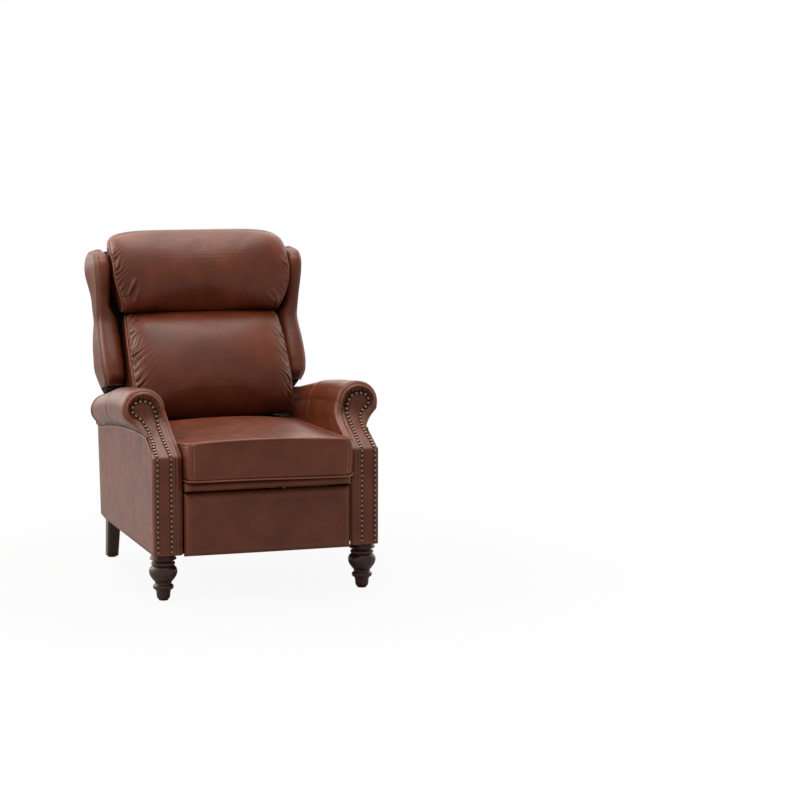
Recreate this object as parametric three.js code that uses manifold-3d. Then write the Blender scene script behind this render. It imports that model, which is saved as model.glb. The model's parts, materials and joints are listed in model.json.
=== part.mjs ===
// Wingback push-back recliner: a padded, nailed arm on each side, a seat that glides between them, a winged back
// that reclines, and a footrest that swings out on a parallel linkage.
// Millimetres. +Z is up, the chair faces -Y, and left and right are those of someone who faces the chair.
// The model is drawn with the arms' front faces at y = 0 and the floor at z = 0, and is centred at the end.
import * as THREE from 'three';
import { mergeVertices } from 'three/addons/utils/BufferGeometryUtils.js';
import Module from 'manifold-3d';

const wasm = await Module();
wasm.setup();

// Driving dimensions of the whole chair
const seatOpening = 524;
const armWidth = 85;
const armBottom = 140;
const armFaceHeight = 292;
const seatFrameBottom = 330;
const seatDepth = 705;
const cushionOverhang = 48;
const armPastSeat = 90;
const backSideGap = 6;
const backHeight = 648;
const backLean = THREE.MathUtils.degToRad(12);

// Clearances and small common sizes
const fit = 0.3;
const overrun = 5;
const weldDistance = 0.001;
const woodThickness = 22;
const steelThickness = 3;

// Places that several pieces share
const armInnerX = seatOpening / 2;
const armOuterX = armInnerX + armWidth;
const armFaceTop = armBottom + armFaceHeight;
const armDepth = seatDepth + armPastSeat;
const backHalfWidth = armInnerX - backSideGap;

const finishes = {
  leather: { color: 0x6d3f2f, roughness: 0.45, metalness: 0 },
  espressoWood: { color: 0x2d1b14, roughness: 0.35, metalness: 0 },
  frameWood: { color: 0xc4a373, roughness: 0.7, metalness: 0 },
  steel: { color: 0x2b2b2d, roughness: 0.5, metalness: 0.8 },
  springSteel: { color: 0x77787c, roughness: 0.4, metalness: 0.9 },
  webbing: { color: 0x8d8474, roughness: 0.9, metalness: 0 },
  blackPlastic: { color: 0x111111, roughness: 0.6, metalness: 0 },
};

// Solids and booleans

function solid(geometry) {
  const loose = geometry.index ? geometry.toNonIndexed() : geometry;
  const bare = new THREE.BufferGeometry().setAttribute('position', loose.getAttribute('position'));
  const merged = mergeVertices(bare, weldDistance);
  const vertProperties = merged.attributes.position.array;
  const triVerts = new Uint32Array(merged.index.array);
  return new wasm.Manifold(new wasm.Mesh({ numProp: 3, vertProperties, triVerts }));
}

function geometryOf(manifold) {
  const mesh = manifold.getMesh();
  const geometry = new THREE.BufferGeometry();
  geometry.setAttribute('position', new THREE.BufferAttribute(mesh.vertProperties, 3));
  geometry.setIndex(new THREE.BufferAttribute(mesh.triVerts, 1));
  return geometry;
}

function join(...geometries) {
  const solids = geometries.map(solid);
  return geometryOf(solids.slice(1).reduce((whole, next) => whole.add(next), solids[0]));
}

function cut(geometry, ...tools) {
  return geometryOf(tools.map(solid).reduce((rest, tool) => rest.subtract(tool), solid(geometry)));
}

function common(first, second) {
  return geometryOf(solid(first).intersect(solid(second)));
}

// Basic forms, each placed where it belongs

function block(x, y, z) {
  const size = [x, y, z].map(([low, high]) => high - low);
  const middle = [x, y, z].map(([low, high]) => (low + high) / 2);
  return new THREE.BoxGeometry(...size).translate(...middle);
}

function shapeOf(points) {
  if (points instanceof THREE.Shape) {
    return points;
  }
  return new THREE.Shape(points.map(([a, b]) => new THREE.Vector2(a, b)));
}

function extruded(outline, depth, curveSegments) {
  return new THREE.ExtrudeGeometry(shapeOf(outline), { depth, bevelEnabled: false, curveSegments });
}

// An outline drawn in (y, z), extruded along x
function slabAlongX(outline, [low, high], curveSegments = 8) {
  const turn = new THREE.Matrix4().makeBasis(
    new THREE.Vector3(0, 1, 0), new THREE.Vector3(0, 0, 1), new THREE.Vector3(1, 0, 0));
  return extruded(outline, high - low, curveSegments).applyMatrix4(turn).translate(low, 0, 0);
}

// An outline drawn in (x, z), extruded along y
function slabAlongY(outline, [low, high], curveSegments = 8) {
  const turn = new THREE.Matrix4().makeBasis(
    new THREE.Vector3(1, 0, 0), new THREE.Vector3(0, 0, 1), new THREE.Vector3(0, -1, 0));
  return extruded(outline, high - low, curveSegments).applyMatrix4(turn).translate(0, high, 0);
}

function rodAlongX(y, z, radius, [low, high], sides = 16) {
  const rod = new THREE.CylinderGeometry(radius, radius, high - low, sides);
  return rod.rotateZ(Math.PI / 2).translate((low + high) / 2, y, z);
}

// A closed surface through rings that all hold the same number of points, with a fan of faces over each end
function loft(rings) {
  const count = rings[0].length;
  const middle = (ring) => ring.reduce((sum, p) => sum.add(p), new THREE.Vector3()).divideScalar(count);
  const points = [...rings.flat(), middle(rings[0]), middle(rings.at(-1))];
  const firstEnd = rings.length * count;
  const lastRing = (rings.length - 1) * count;
  const index = [];
  for (let i = 0; i < count; i += 1) {
    const next = (i + 1) % count;
    for (let r = 0; r < lastRing; r += count) {
      index.push(r + i, r + next, r + count + next, r + i, r + count + next, r + count + i);
    }
    index.push(firstEnd, next, i, firstEnd + 1, lastRing + i, lastRing + next);
  }
  const geometry = new THREE.BufferGeometry().setFromPoints(points);
  geometry.setIndex(index);
  return facingOut(geometry);
}

function facingOut(geometry) {
  const corners = geometry.attributes.position;
  const index = geometry.index.array;
  const point = (i) => new THREE.Vector3().fromBufferAttribute(corners, index[i]);
  let volume = 0;
  for (let i = 0; i < index.length; i += 3) {
    volume += point(i).dot(point(i + 1).cross(point(i + 2)));
  }
  if (volume < 0) {
    for (let i = 0; i < index.length; i += 3) {
      [index[i], index[i + 1]] = [index[i + 1], index[i]];
    }
  }
  return geometry;
}

// A smooth closed ring through the given (a, b) points
function smoothRing(points, count) {
  const corners = points.map(([a, b]) => new THREE.Vector3(a, b, 0));
  return new THREE.CatmullRomCurve3(corners, true, 'centripetal').getPoints(count).slice(0, count);
}

// A stuffed form that runs across the chair. Its section is `middle` in the centre and draws in to `end` at the
// sides; `fullness` says how far towards the sides the full section holds.
function stuffed({ halfWidth, middle, end, fullness = 4, count = 28, stations = 8 }) {
  const inner = smoothRing(middle, count);
  const outer = smoothRing(end, count);
  const rings = [];
  for (let i = -stations; i <= stations; i += 1) {
    const across = Math.sin((i / stations) * Math.PI / 2);
    const swell = Math.sqrt(Math.max(0, 1 - Math.abs(across) ** fullness));
    rings.push(inner.map((p, k) => {
      const q = outer[k].clone().lerp(p, swell);
      return new THREE.Vector3(across * halfWidth, q.x, q.y);
    }));
  }
  return loft(rings);
}

// Keeps what lies inside a box, so that a stuffed form is flat where it rests on something
function trimmed(geometry, x, y, z) {
  return common(geometry, block(x, y, z));
}

// A round section for a wire
function wireSection(radius, sides) {
  const corners = [];
  for (let i = 0; i < sides; i += 1) {
    const angle = (2 * Math.PI * i) / sides;
    corners.push(new THREE.Vector2(radius * Math.cos(angle), radius * Math.sin(angle)));
  }
  return new THREE.Shape(corners);
}

// The scene graph

const recliner = new THREE.Group();
const backGroup = new THREE.Group();
recliner.add(backGroup);

function add(name, geometry, finish, group = recliner) {
  geometry.computeVertexNormals();
  const mesh = new THREE.Mesh(geometry, new THREE.MeshStandardMaterial(finishes[finish]));
  mesh.name = name;
  group.add(mesh);
  return mesh;
}

// A piece drawn on the right-hand side, and its mirror image on the left
function addPair(name, geometry, finish, group = recliner) {
  add(`right_${name}`, geometry, finish, group);
  add(`left_${name}`, geometry, finish, group).scale.x = -1;
}

// Arms: two leather-covered panels over a wooden frame, a front panel, and a roll along the top

const outerHide = 8;
const innerPad = 16;
const facePad = 24;
const scrollRadius = 63;
const scrollInset = 11;
const scrollRise = 121;
const scrollX = armOuterX - scrollInset;
const scrollZ = armFaceTop + scrollRise;
const neckRise = 56;
const neckSetback = 112;
const scrollSetback = 168;
const neckTaper = 9;
const rollEndSetback = 30;
const rollDrop = 85;
const rollEndRadius = 49;
const rollEndInset = 28;
const rollSeamDrop = 62;
const bottomRearRise = 7;
const rearEdgeLean = 31;
const rollEndY = armDepth - rollEndSetback;
const rollEndTop = scrollZ + scrollRadius - rollDrop;
const rollEndX = armOuterX - rollEndInset;
const rollSeamFront = scrollZ - scrollRadius + fit;
const rollSeamRear = rollSeamFront - rollSeamDrop;
const rollStartY = scrollSetback + facePad + fit;

// The height of the seam between the roll and the panels below it
const seamSlope = (rollSeamRear - rollSeamFront) / (armDepth - rollStartY);
function rollSeam(y) {
  return rollSeamFront + seamSlope * (y - rollStartY);
}

// The front face seen from the side: upright, sloping back to the neck, and upright again at the scroll
function facePath(setback, topZ) {
  const path = new THREE.Path();
  path.moveTo(setback, armBottom);
  path.lineTo(setback, armFaceTop);
  path.lineTo(neckSetback + setback, armFaceTop + neckRise);
  path.quadraticCurveTo(scrollSetback + setback, armFaceTop + neckRise + (scrollSetback - neckSetback) / 2,
    scrollSetback + setback, scrollZ);
  path.lineTo(scrollSetback + setback, topZ);
  return path.getPoints(6);
}

function armFrontPanel() {
  const topZ = scrollZ + scrollRadius + overrun;
  const front = facePath(0, topZ);
  const rear = facePath(facePad, topZ).reverse();
  const width = [armInnerX - overrun, scrollX + 2 * scrollRadius];
  const side = slabAlongX(new THREE.Shape([...front, ...rear]), width);
  const neckZ = scrollZ - scrollRadius;
  const face = new THREE.Shape();
  face.moveTo(armInnerX, armBottom);
  face.lineTo(armOuterX, armBottom);
  face.lineTo(armOuterX, armFaceTop);
  face.quadraticCurveTo(armOuterX - neckTaper, armFaceTop + neckRise / 2, scrollX, neckZ);
  face.absarc(scrollX, scrollZ, scrollRadius, -Math.PI / 2, Math.PI, false);
  face.quadraticCurveTo(armInnerX, scrollZ - scrollRadius / 2, armInnerX, neckZ);
  return common(side, slabAlongY(face, [-overrun, scrollSetback + 2 * facePad], 28));
}

// One section of the roll: most of a circle, with a flank down the arm's inner side. The last ones lean back with
// the arm's rear edge.
function armRollRing(along) {
  const y = THREE.MathUtils.lerp(rollStartY, rollEndY, along);
  const taper = along ** 1.5;
  const radius = THREE.MathUtils.lerp(scrollRadius, rollEndRadius, taper);
  const centreX = THREE.MathUtils.lerp(scrollX, rollEndX, taper);
  const topZ = THREE.MathUtils.lerp(scrollZ + scrollRadius, rollEndTop, along);
  const centreZ = topZ - radius;
  const slantShare = (along * (rollEndSetback - fit)) / (rollEndTop - rollSeamRear);
  const fall = seamSlope * slantShare;
  const bottom = (rollSeam(y) + fit + fall * topZ) / (1 + fall);
  const place = (x, z) => {
    const seated = Math.max(z, bottom);
    return new THREE.Vector3(x, y + slantShare * (topZ - seated), seated);
  };
  const ring = [];
  const start = -0.42 * Math.PI;
  const turn = 1.4 * Math.PI;
  const steps = 18;
  for (let i = 0; i <= steps; i += 1) {
    const angle = start + (turn * i) / steps;
    ring.push(place(centreX + radius * Math.cos(angle), centreZ + radius * Math.sin(angle)));
  }
  ring.push(place(armInnerX, centreZ - radius / 2));
  ring.push(place(armInnerX, bottom));
  return ring;
}

function armRoll() {
  const stations = 8;
  const rings = [];
  for (let i = 0; i <= stations; i += 1) {
    rings.push(armRollRing(i / stations));
  }
  return loft(rings);
}

// The rear edge leans back: its place at a height, moved forward by a setback
function rearEdge(z, setback = 0) {
  const foot = armBottom + bottomRearRise;
  return THREE.MathUtils.mapLinear(z, foot, rollSeamRear, armDepth - rearEdgeLean, armDepth) - setback;
}

// The underside rises a little towards the rear corner
function armUnderside(y) {
  const corner = armDepth - rearEdgeLean;
  return armBottom + Math.max(0, THREE.MathUtils.mapLinear(y, corner - armWidth, corner, 0, bottomRearRise));
}

// Both arm panels seen from the side: they follow the front panel, the roll's seam and the leaning rear edge
function armPanel([innerX, outerX]) {
  const start = facePad + fit;
  const footZ = armBottom + bottomRearRise;
  const seamZ = rollSeam(armDepth) - fit;
  const slope = facePath(start, rollSeamFront).filter((p) => p.y < rollSeamFront - fit);
  const outline = [
    ...slope.map((p) => [p.x, p.y]),
    [rollStartY, rollSeam(rollStartY) - fit],
    [rearEdge(seamZ), seamZ],
    [rearEdge(footZ), footZ],
    [rearEdge(footZ) - armWidth, armBottom],
  ];
  return slabAlongX(outline, [innerX, outerX]);
}

// The outer panel's leather turns the rear corner and closes the arm's end
function armOuterPanel() {
  const footZ = armBottom + bottomRearRise;
  const seamZ = rollSeam(armDepth) - fit;
  const end = slabAlongX([
    [rearEdge(footZ, outerHide), footZ], [rearEdge(footZ), footZ], [rearEdge(seamZ), seamZ],
    [rearEdge(seamZ, outerHide), seamZ]], [armInnerX + innerPad + fit, armOuterX]);
  return join(armPanel([armOuterX - outerHide, armOuterX]), end);
}

// The frame stands between the two panels
const armFrameX = [armInnerX + innerPad + fit, armOuterX - outerHide - fit];
const armPostDepth = 45;
const frontPostY = [facePad + 2 * fit, facePad + armPostDepth];
const frameEnd = rearEdge(armBottom + bottomRearRise, outerHide + fit);
const rearPostY = [frameEnd - armPostDepth, frameEnd];
const bottomRailTop = armBottom + woodThickness;
const neckY = neckSetback + facePad;

function armBottomRail() {
  const front = frontPostY[0];
  return slabAlongX([
    [front, armBottom], [frameEnd - armWidth, armBottom], [frameEnd, armBottom + bottomRearRise],
    [frameEnd, bottomRailTop], [front, bottomRailTop]], armFrameX);
}

// The top rail follows the sloping front up to the neck, and then the roll's seam
function railTop(y) {
  const slope = armFaceTop + ((y - facePad) * neckRise) / neckSetback;
  return Math.min(slope, rollSeam(y)) - 2 * fit;
}

function armTopRail() {
  const stations = [frontPostY[0], neckY, rollStartY, frameEnd];
  const upper = stations.map((y) => [y, railTop(y)]);
  const lower = stations.map((y) => [y, railTop(y) - woodThickness]).reverse();
  return slabAlongX([...upper, ...lower], armFrameX);
}

function armPost([front, rear]) {
  const foot = bottomRailTop + fit;
  const headroom = woodThickness + fit;
  const rearTop = [rear, railTop(rear) - headroom];
  const frontTop = [front, railTop(front) - headroom];
  return slabAlongX([[front, foot], [rear, foot], rearTop, frontTop], armFrameX);
}

addPair('arm_front_panel', armFrontPanel(), 'leather');
addPair('arm_roll', armRoll(), 'leather');
addPair('arm_outer_panel', armOuterPanel(), 'leather');
addPair('arm_inner_panel', armPanel([armInnerX, armInnerX + innerPad]), 'leather');
addPair('arm_bottom_rail', armBottomRail(), 'frameWood');
addPair('arm_top_rail', armTopRail(), 'frameWood');
addPair('arm_front_post', armPost(frontPostY), 'frameWood');
addPair('arm_rear_post', armPost(rearPostY), 'frameWood');

// Legs

const glideHeight = 4;
const glideRadius = 14;
const frontLegInset = 37;
const frontLegX = armOuterX - frontLegInset;
const frontLegY = 47;
const frontLegRadius = 42;
const legTop = armBottom - fit;
// The turning, from foot to top: [share of the leg's height, share of its widest radius]
const turningShares = [
  [0, 0.4], [0.13, 0.5], [0.2, 0.58], [0.225, 0.7], [0.27, 0.73], [0.31, 0.7], [0.33, 0.6], [0.37, 0.6],
  [0.44, 0.76], [0.53, 0.94], [0.61, 1], [0.69, 0.94], [0.735, 0.8], [0.75, 0.72], [0.76, 0.8], [0.79, 0.83],
  [0.82, 0.8], [0.83, 0.72], [0.86, 0.72], [0.87, 0.84], [0.93, 0.89], [0.96, 0.86], [1, 0.82],
];

function turnedLeg() {
  const foot = glideHeight + fit;
  const height = legTop - foot;
  const place = ([up, out]) => new THREE.Vector2(out * frontLegRadius, foot + up * height);
  const profile = turningShares.map(place);
  const closed = [new THREE.Vector2(0, foot), ...profile, new THREE.Vector2(0, legTop)];
  return new THREE.LatheGeometry(closed, 18).rotateX(Math.PI / 2).translate(frontLegX, frontLegY, 0);
}

const rearLegInset = 39;
const rearLegSetback = 2;
const rearLegSplay = 30;
const rearLegTopWidth = 43;
const rearLegFootWidth = 36;
const rearLegChamfer = 4;
const rearLegX = armOuterX - rearLegInset;
const rearLegTopY = armDepth - rearEdgeLean - rearLegSetback - rearLegTopWidth / 2;

function squareRing(x, y, width, chamfer, height) {
  const half = width / 2;
  const inner = half - chamfer;
  const corners = [
    [half, -inner], [half, inner], [inner, half], [-inner, half],
    [-half, inner], [-half, -inner], [-inner, -half], [inner, -half]];
  return corners.map(([a, b]) => new THREE.Vector3(x + a, y + b, height(y + b)));
}

// The tapered leg stands on its glide, and its top meets the arm's rising underside
function taperedLeg() {
  const foot = squareRing(rearLegX, rearLegTopY + rearLegSplay, rearLegFootWidth, rearLegChamfer,
    () => glideHeight + fit);
  const top = squareRing(rearLegX, rearLegTopY, rearLegTopWidth, rearLegChamfer,
    (y) => armUnderside(y) - fit);
  return loft([foot, top]);
}

function legGlide(x, y) {
  const disc = new THREE.CylinderGeometry(glideRadius, glideRadius, glideHeight, 20);
  return disc.rotateX(Math.PI / 2).translate(x, y, glideHeight / 2);
}

addPair('front_leg', turnedLeg(), 'espressoWood');
addPair('rear_leg', taperedLeg(), 'espressoWood');
addPair('front_glide', legGlide(frontLegX, frontLegY), 'blackPlastic');
addPair('rear_glide', legGlide(rearLegX, rearLegTopY + rearLegSplay), 'blackPlastic');

// Footrest linkage, seen from the side. Each side has a rear link and a front link of one length, which hang from
// the seat's side plate and carry the cross link, so that the cross link stays parallel to the line of their pivots.

const linkLength = 186;
const linkSpacing = 68;
const crossLinkLength = 220;
const crossLinkRise = THREE.MathUtils.degToRad(14);
const linkRestAngle = THREE.MathUtils.degToRad(-145);
const linkHalfHeight = 10;
const rivetRadius = 4;
const rivetHeadRadius = 6;
const rivetHead = 2;
const rearPivotY = 132;
const rearPivotDrop = 30;
const rearPivotZ = seatFrameBottom - rearPivotDrop;
const openPivotClearance = 1;

// A place at a distance and angle from another, where angle 0 points forward and 90 degrees points up
function polar([y, z], distance, angle) {
  return [y - distance * Math.cos(angle), z + distance * Math.sin(angle)];
}

const rearPivot = [rearPivotY, rearPivotZ];
const frontPivot = polar(rearPivot, linkSpacing, crossLinkRise);
const rearElbow = polar(rearPivot, linkLength, linkRestAngle);
const frontElbow = polar(frontPivot, linkLength, linkRestAngle);
const footrestPivot = polar(rearElbow, crossLinkLength, crossLinkRise);

// Layers of steel from the side plate inwards
const seatRailWidth = 20;
const sidePlateOuterX = backHalfWidth - seatRailWidth;
const layer = (number) => {
  const outer = sidePlateOuterX - number * (steelThickness + fit);
  return [outer - steelThickness, outer];
};
const sidePlateLayer = layer(0);
const hangingLinkLayer = layer(1);
const crossLinkLayer = layer(2);
const frontLinkLayer = layer(3);

// A flat bar with round ends, extruded across one layer
function bar([fromY, fromZ], [toY, toZ], [low, high]) {
  const along = Math.atan2(toZ - fromZ, toY - fromY);
  const shape = new THREE.Shape();
  shape.absarc(fromY, fromZ, linkHalfHeight, along + Math.PI / 2, along + 1.5 * Math.PI, false);
  shape.absarc(toY, toZ, linkHalfHeight, along - Math.PI / 2, along + Math.PI / 2, false);
  return slabAlongX(shape, [low, high], 8);
}

function rivetHole([y, z], [low, high], clearance = fit) {
  return rodAlongX(y, z, rivetRadius + clearance, [low - overrun, high + overrun]);
}

// A rivet that belongs to the piece in layer `own` and turns in the hole of the piece in layer `held`
function rivet([y, z], own, held) {
  const inwards = own[0] > held[0];
  const shank = inwards ? [held[0] - fit - rivetHead, own[1]] : [own[0], held[1] + fit + rivetHead];
  const head = inwards ? [shank[0], held[0] - fit] : [held[1] + fit, shank[1]];
  return join(rodAlongX(y, z, rivetRadius, shank), rodAlongX(y, z, rivetHeadRadius, head));
}

// Cross rails between the arms

const crossRailX = armInnerX - fit;
const crossRailHeight = 55;
const midCrossRailSetback = 50;
const rearCrossRailSetback = 60;
const midCrossRailY = rearElbow[0] + midCrossRailSetback;
const rearCrossRailY = armDepth - rearCrossRailSetback;

function crossRail(y) {
  return block([-crossRailX, crossRailX], [y, y + woodThickness], [armBottom, armBottom + crossRailHeight]);
}

add('mid_cross_rail', crossRail(midCrossRailY), 'frameWood');
add('rear_cross_rail', crossRail(rearCrossRailY), 'frameWood');

// Seat frame, its side plates with rollers, and the channels in which the rollers run

const seatRailHeight = 30;
const seatRailTop = seatFrameBottom + seatRailHeight;
const seatFrameFront = -2;
const rearRailSetback = 33;
const seatFrameRear = seatDepth - cushionOverhang + rearRailSetback;
const seatSideRailX = [sidePlateOuterX + fit, backHalfWidth];
const backPivotSetback = 60;
const backPivotRise = 40;
const backPivotY = seatFrameRear + backPivotSetback;
const backPivotZ = seatRailTop + backPivotRise;
const backPivot = [backPivotY, backPivotZ];
const rollerRadius = 22;
const frontRollerSetback = 202;
const rearRollerInset = 130;
const rollerY = [seatFrameFront + frontRollerSetback, seatFrameRear - rearRollerInset];
const channelEndRoom = [65, 80];
const channelY = [rollerY[0] - channelEndRoom[0], rollerY[1] + channelEndRoom[1]];
const channelDrop = 40;
const channelTop = seatFrameBottom - channelDrop;
const rollerZ = channelTop - steelThickness - fit - rollerRadius;
const channelBottom = rollerZ - rollerRadius - fit - steelThickness;
const channelGap = 4;
const channelX = [sidePlateOuterX + channelGap, armInnerX - fit];
const plateFrontY = 40;
const plateTopGap = 5;
const plateBottomZ = rollerZ - linkHalfHeight;
const pivotBoss = 22;

function seatSideRail() {
  const length = [seatFrameFront + woodThickness + fit, seatFrameRear];
  return block(seatSideRailX, length, [seatFrameBottom, seatRailTop]);
}

function seatCrossRail(front, reach) {
  return block([-reach, reach], [front, front + woodThickness], [seatFrameBottom, seatRailTop]);
}

function seatSidePlate() {
  const top = seatRailTop - plateTopGap;
  const outline = [
    [plateFrontY, top], [plateFrontY, rearPivotZ - linkHalfHeight], [rearPivotY, plateBottomZ],
    [rollerY[1] + pivotBoss, plateBottomZ], [backPivotY + pivotBoss, backPivotZ - pivotBoss],
    [backPivotY + pivotBoss, backPivotZ + pivotBoss], [backPivotY - pivotBoss, backPivotZ + pivotBoss],
    [seatFrameRear - woodThickness, top]];
  const rollers = rollerY.map((y) => rodAlongX(y, rollerZ, rollerRadius,
    [sidePlateOuterX - steelThickness, channelX[1] - steelThickness - fit], 20));
  const plate = join(slabAlongX(outline, sidePlateLayer), ...rollers);
  const holes = [rearPivot, frontPivot, backPivot].map((pivot) => rivetHole(pivot, sidePlateLayer));
  return cut(plate, ...holes);
}

function baseChannel() {
  const hollow = block([channelX[0] - overrun, channelX[1] - steelThickness],
    [channelY[0] - overrun, channelY[1] + overrun],
    [channelBottom + steelThickness, channelTop - steelThickness]);
  return cut(block(channelX, channelY, [channelBottom, channelTop]), hollow);
}

addPair('seat_side_rail', seatSideRail(), 'frameWood');
add('seat_front_rail', seatCrossRail(seatFrameFront, backHalfWidth), 'frameWood');
add('seat_rear_rail', seatCrossRail(seatFrameRear - woodThickness, sidePlateLayer[0] - fit), 'frameWood');
addPair('seat_side_plate', seatSidePlate(), 'steel');
addPair('base_channel', baseChannel(), 'steel');

// The links. Those that hang from the seat lie on either side of the cross link, and carry the rivets that turn in
// the side plate and in the cross link.

function hangingLink(top, elbow, own) {
  return join(bar(top, elbow, own), rivet(top, own, sidePlateLayer), rivet(elbow, own, crossLinkLayer));
}

function crossLink() {
  const holes = [rearElbow, footrestPivot].map((pivot) => rivetHole(pivot, crossLinkLayer));
  const openHole = rivetHole(frontElbow, crossLinkLayer, openPivotClearance);
  return cut(bar(rearElbow, footrestPivot, crossLinkLayer), openHole, ...holes);
}

const tubeRadius = 9;
const tubeShare = 0.2;

// The torque tube makes the two sides swing together
function torqueTube() {
  const [y, z] = polar(rearPivot, linkLength * tubeShare, linkRestAngle);
  const reach = hangingLinkLayer[0] - fit;
  return rodAlongX(y, z, tubeRadius, [-reach, reach], 12);
}

addPair('rear_link', hangingLink(rearPivot, rearElbow, hangingLinkLayer), 'steel');
addPair('front_link', hangingLink(frontPivot, frontElbow, frontLinkLayer), 'steel');
addPair('cross_link', crossLink(), 'steel');
add('torque_tube', torqueTube(), 'steel');

// Footrest: a padded board on two steel brackets

const footrestSideGap = 6;
const footrestTopGap = 6;
const footrestHalfWidth = armInnerX - footrestSideGap;
const footrestDrop = 5;
const footrestBottom = armBottom - footrestDrop;
const footrestTop = seatFrameBottom - footrestTopGap;
const footrestFront = -17;
const footrestPad = 26;
const boardThickness = 15;
const boardInset = 10;
const bracketHeight = 70;
const bracketFlange = 30;
const footrestBack = footrestFront + footrestPad + fit + boardThickness;

function footrestCushion() {
  const height = footrestTop - footrestBottom;
  const rear = footrestFront + footrestPad;
  const edgeShare = 0.35;
  const rim = footrestPad * edgeShare;
  const section = (front, draw) => [
    [rear, footrestBottom + draw], [rear, footrestBottom + height / 2],
    [rear, footrestTop - draw], [front + rim, footrestTop - draw],
    [front, footrestTop - draw - rim], [front, footrestBottom + height / 2],
    [front, footrestBottom + draw + rim], [front + rim, footrestBottom + draw]];
  const endDraw = 3;
  const pad = stuffed({ halfWidth: footrestHalfWidth, middle: section(footrestFront, 0),
    end: section(footrestFront + rim, endDraw), fullness: 8, count: 24, stations: 7 });
  return trimmed(pad, [-armInnerX, armInnerX], [footrestFront - overrun, rear],
    [footrestBottom - overrun, footrestTop + overrun]);
}

function footrestBoard() {
  return block([-footrestHalfWidth + boardInset, footrestHalfWidth - boardInset],
    [footrestFront + footrestPad + fit, footrestBack],
    [footrestBottom + boardInset, footrestTop - boardInset]);
}

// An angle bracket: a flange on the board and an arm back to the cross link's pivot
function footrestBracket() {
  const [y, z] = footrestPivot;
  const front = footrestBack + fit;
  const flange = block([hangingLinkLayer[1] - bracketFlange, hangingLinkLayer[1]],
    [front, front + steelThickness], [z - bracketHeight / 2, z + bracketHeight / 2]);
  const arm = slabAlongX([
    [front, z - bracketHeight / 2], [y, z - linkHalfHeight], [y + linkHalfHeight, z], [y, z + linkHalfHeight],
    [front, z + bracketHeight / 2]], hangingLinkLayer);
  return join(flange, arm, rivet(footrestPivot, hangingLinkLayer, crossLinkLayer));
}

add('footrest_pad', footrestCushion(), 'leather');
add('footrest_board', footrestBoard(), 'frameWood');
addPair('footrest_bracket', footrestBracket(), 'steel');

// Seat: springs on the frame, a padded band in front, and the cushion

const springCount = 4;
const springWire = 3.6;
const springPitch = 46;
const springSwing = 24;
const springSag = 8;
const tieWireCount = 2;

// A wire that winds from side to side between the front and rear rails
function sinuousSpring(across, length) {
  const bars = Math.round(length / springPitch);
  const points = [];
  for (let i = 0; i <= bars; i += 1) {
    const side = i % 2 ? 1 : -1;
    const edge = i === 0 || i === bars;
    points.push(new THREE.Vector3(across + (edge ? 0 : side * springSwing), (length * i) / bars, 0));
  }
  const path = new THREE.CatmullRomCurve3(points, false, 'centripetal');
  return new THREE.ExtrudeGeometry(wireSection(springWire / 2, 5), { steps: bars * 3, extrudePath: path });
}

function seatSprings() {
  const front = seatFrameFront + woodThickness + fit;
  const length = seatFrameRear - 2 * woodThickness - 2 * fit - seatFrameFront;
  const spread = 2 * (sidePlateLayer[0] - springSwing - linkHalfHeight * 2);
  const z = seatRailTop - springSag;
  const wires = [];
  for (let i = 0; i < springCount; i += 1) {
    const x = -spread / 2 + (spread * i) / (springCount - 1);
    wires.push(sinuousSpring(x, length).translate(0, front, z));
  }
  for (let i = 1; i <= tieWireCount; i += 1) {
    const y = front + (length * i) / (tieWireCount + 1);
    const reach = spread / 2 + springSwing + springWire;
    wires.push(rodAlongX(y, z, springWire / 2, [-reach, reach], 6));
  }
  const reach = spread / 2 + 2 * springSwing;
  return trimmed(join(...wires), [-reach, reach], [front, front + length], [seatFrameBottom, seatRailTop]);
}

const bandFront = -25;
const bandSideGap = 4;
const bandHalfWidth = armInnerX - bandSideGap;

function seatBand() {
  const rear = seatFrameFront - fit;
  const middleZ = (seatFrameBottom + seatRailTop) / 2;
  const roundShare = 0.3;
  const section = (front, draw) => {
    const rim = (rear - front) * roundShare;
    return [[rear, seatFrameBottom + draw], [rear, seatRailTop - draw], [front + rim, seatRailTop - draw],
      [front, middleZ], [front + rim, seatFrameBottom + draw]];
  };
  const endDraw = 2;
  const band = stuffed({ halfWidth: bandHalfWidth, middle: section(bandFront, 0),
    end: section(bandFront + 3 * endDraw, endDraw), fullness: 10, count: 16, stations: 5 });
  return trimmed(band, [-armInnerX, armInnerX], [bandFront - overrun, rear], [seatFrameBottom, seatRailTop]);
}

const cushionBottom = seatRailTop + fit;
const cushionHeight = 112;
const cushionSideGap = 5;
const cushionHalfWidth = armInnerX - cushionSideGap;
// The cushion's side outline: [share of its depth from the front, share of its front height]. It sinks to the
// rear, where the pillow sits on it.
const cushionTopAtBackShare = [0.93, 0.92];
const cushionMiddleShares = [
  [0.03, 0], [0.3, 0], [0.6, 0], [0.9, 0], [0.985, 0.05], [1, 0.4], [0.99, 0.78], cushionTopAtBackShare,
  [0.75, 1.09], [0.55, 1.145], [0.3, 1.12], [0.1, 1.04], [0.02, 1], [0, 0.92], [0.006, 0.5], [0.014, 0.08],
];
const cushionEndShares = [
  [0.04, 0.02], [0.3, 0.02], [0.6, 0.02], [0.9, 0.02], [0.97, 0.08], [0.985, 0.4], [0.97, 0.7], [0.93, 0.79],
  [0.75, 0.83], [0.5, 0.86], [0.25, 0.9], [0.08, 0.95], [0.03, 0.95], [0.015, 0.88], [0.02, 0.5], [0.028, 0.1],
];

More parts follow.
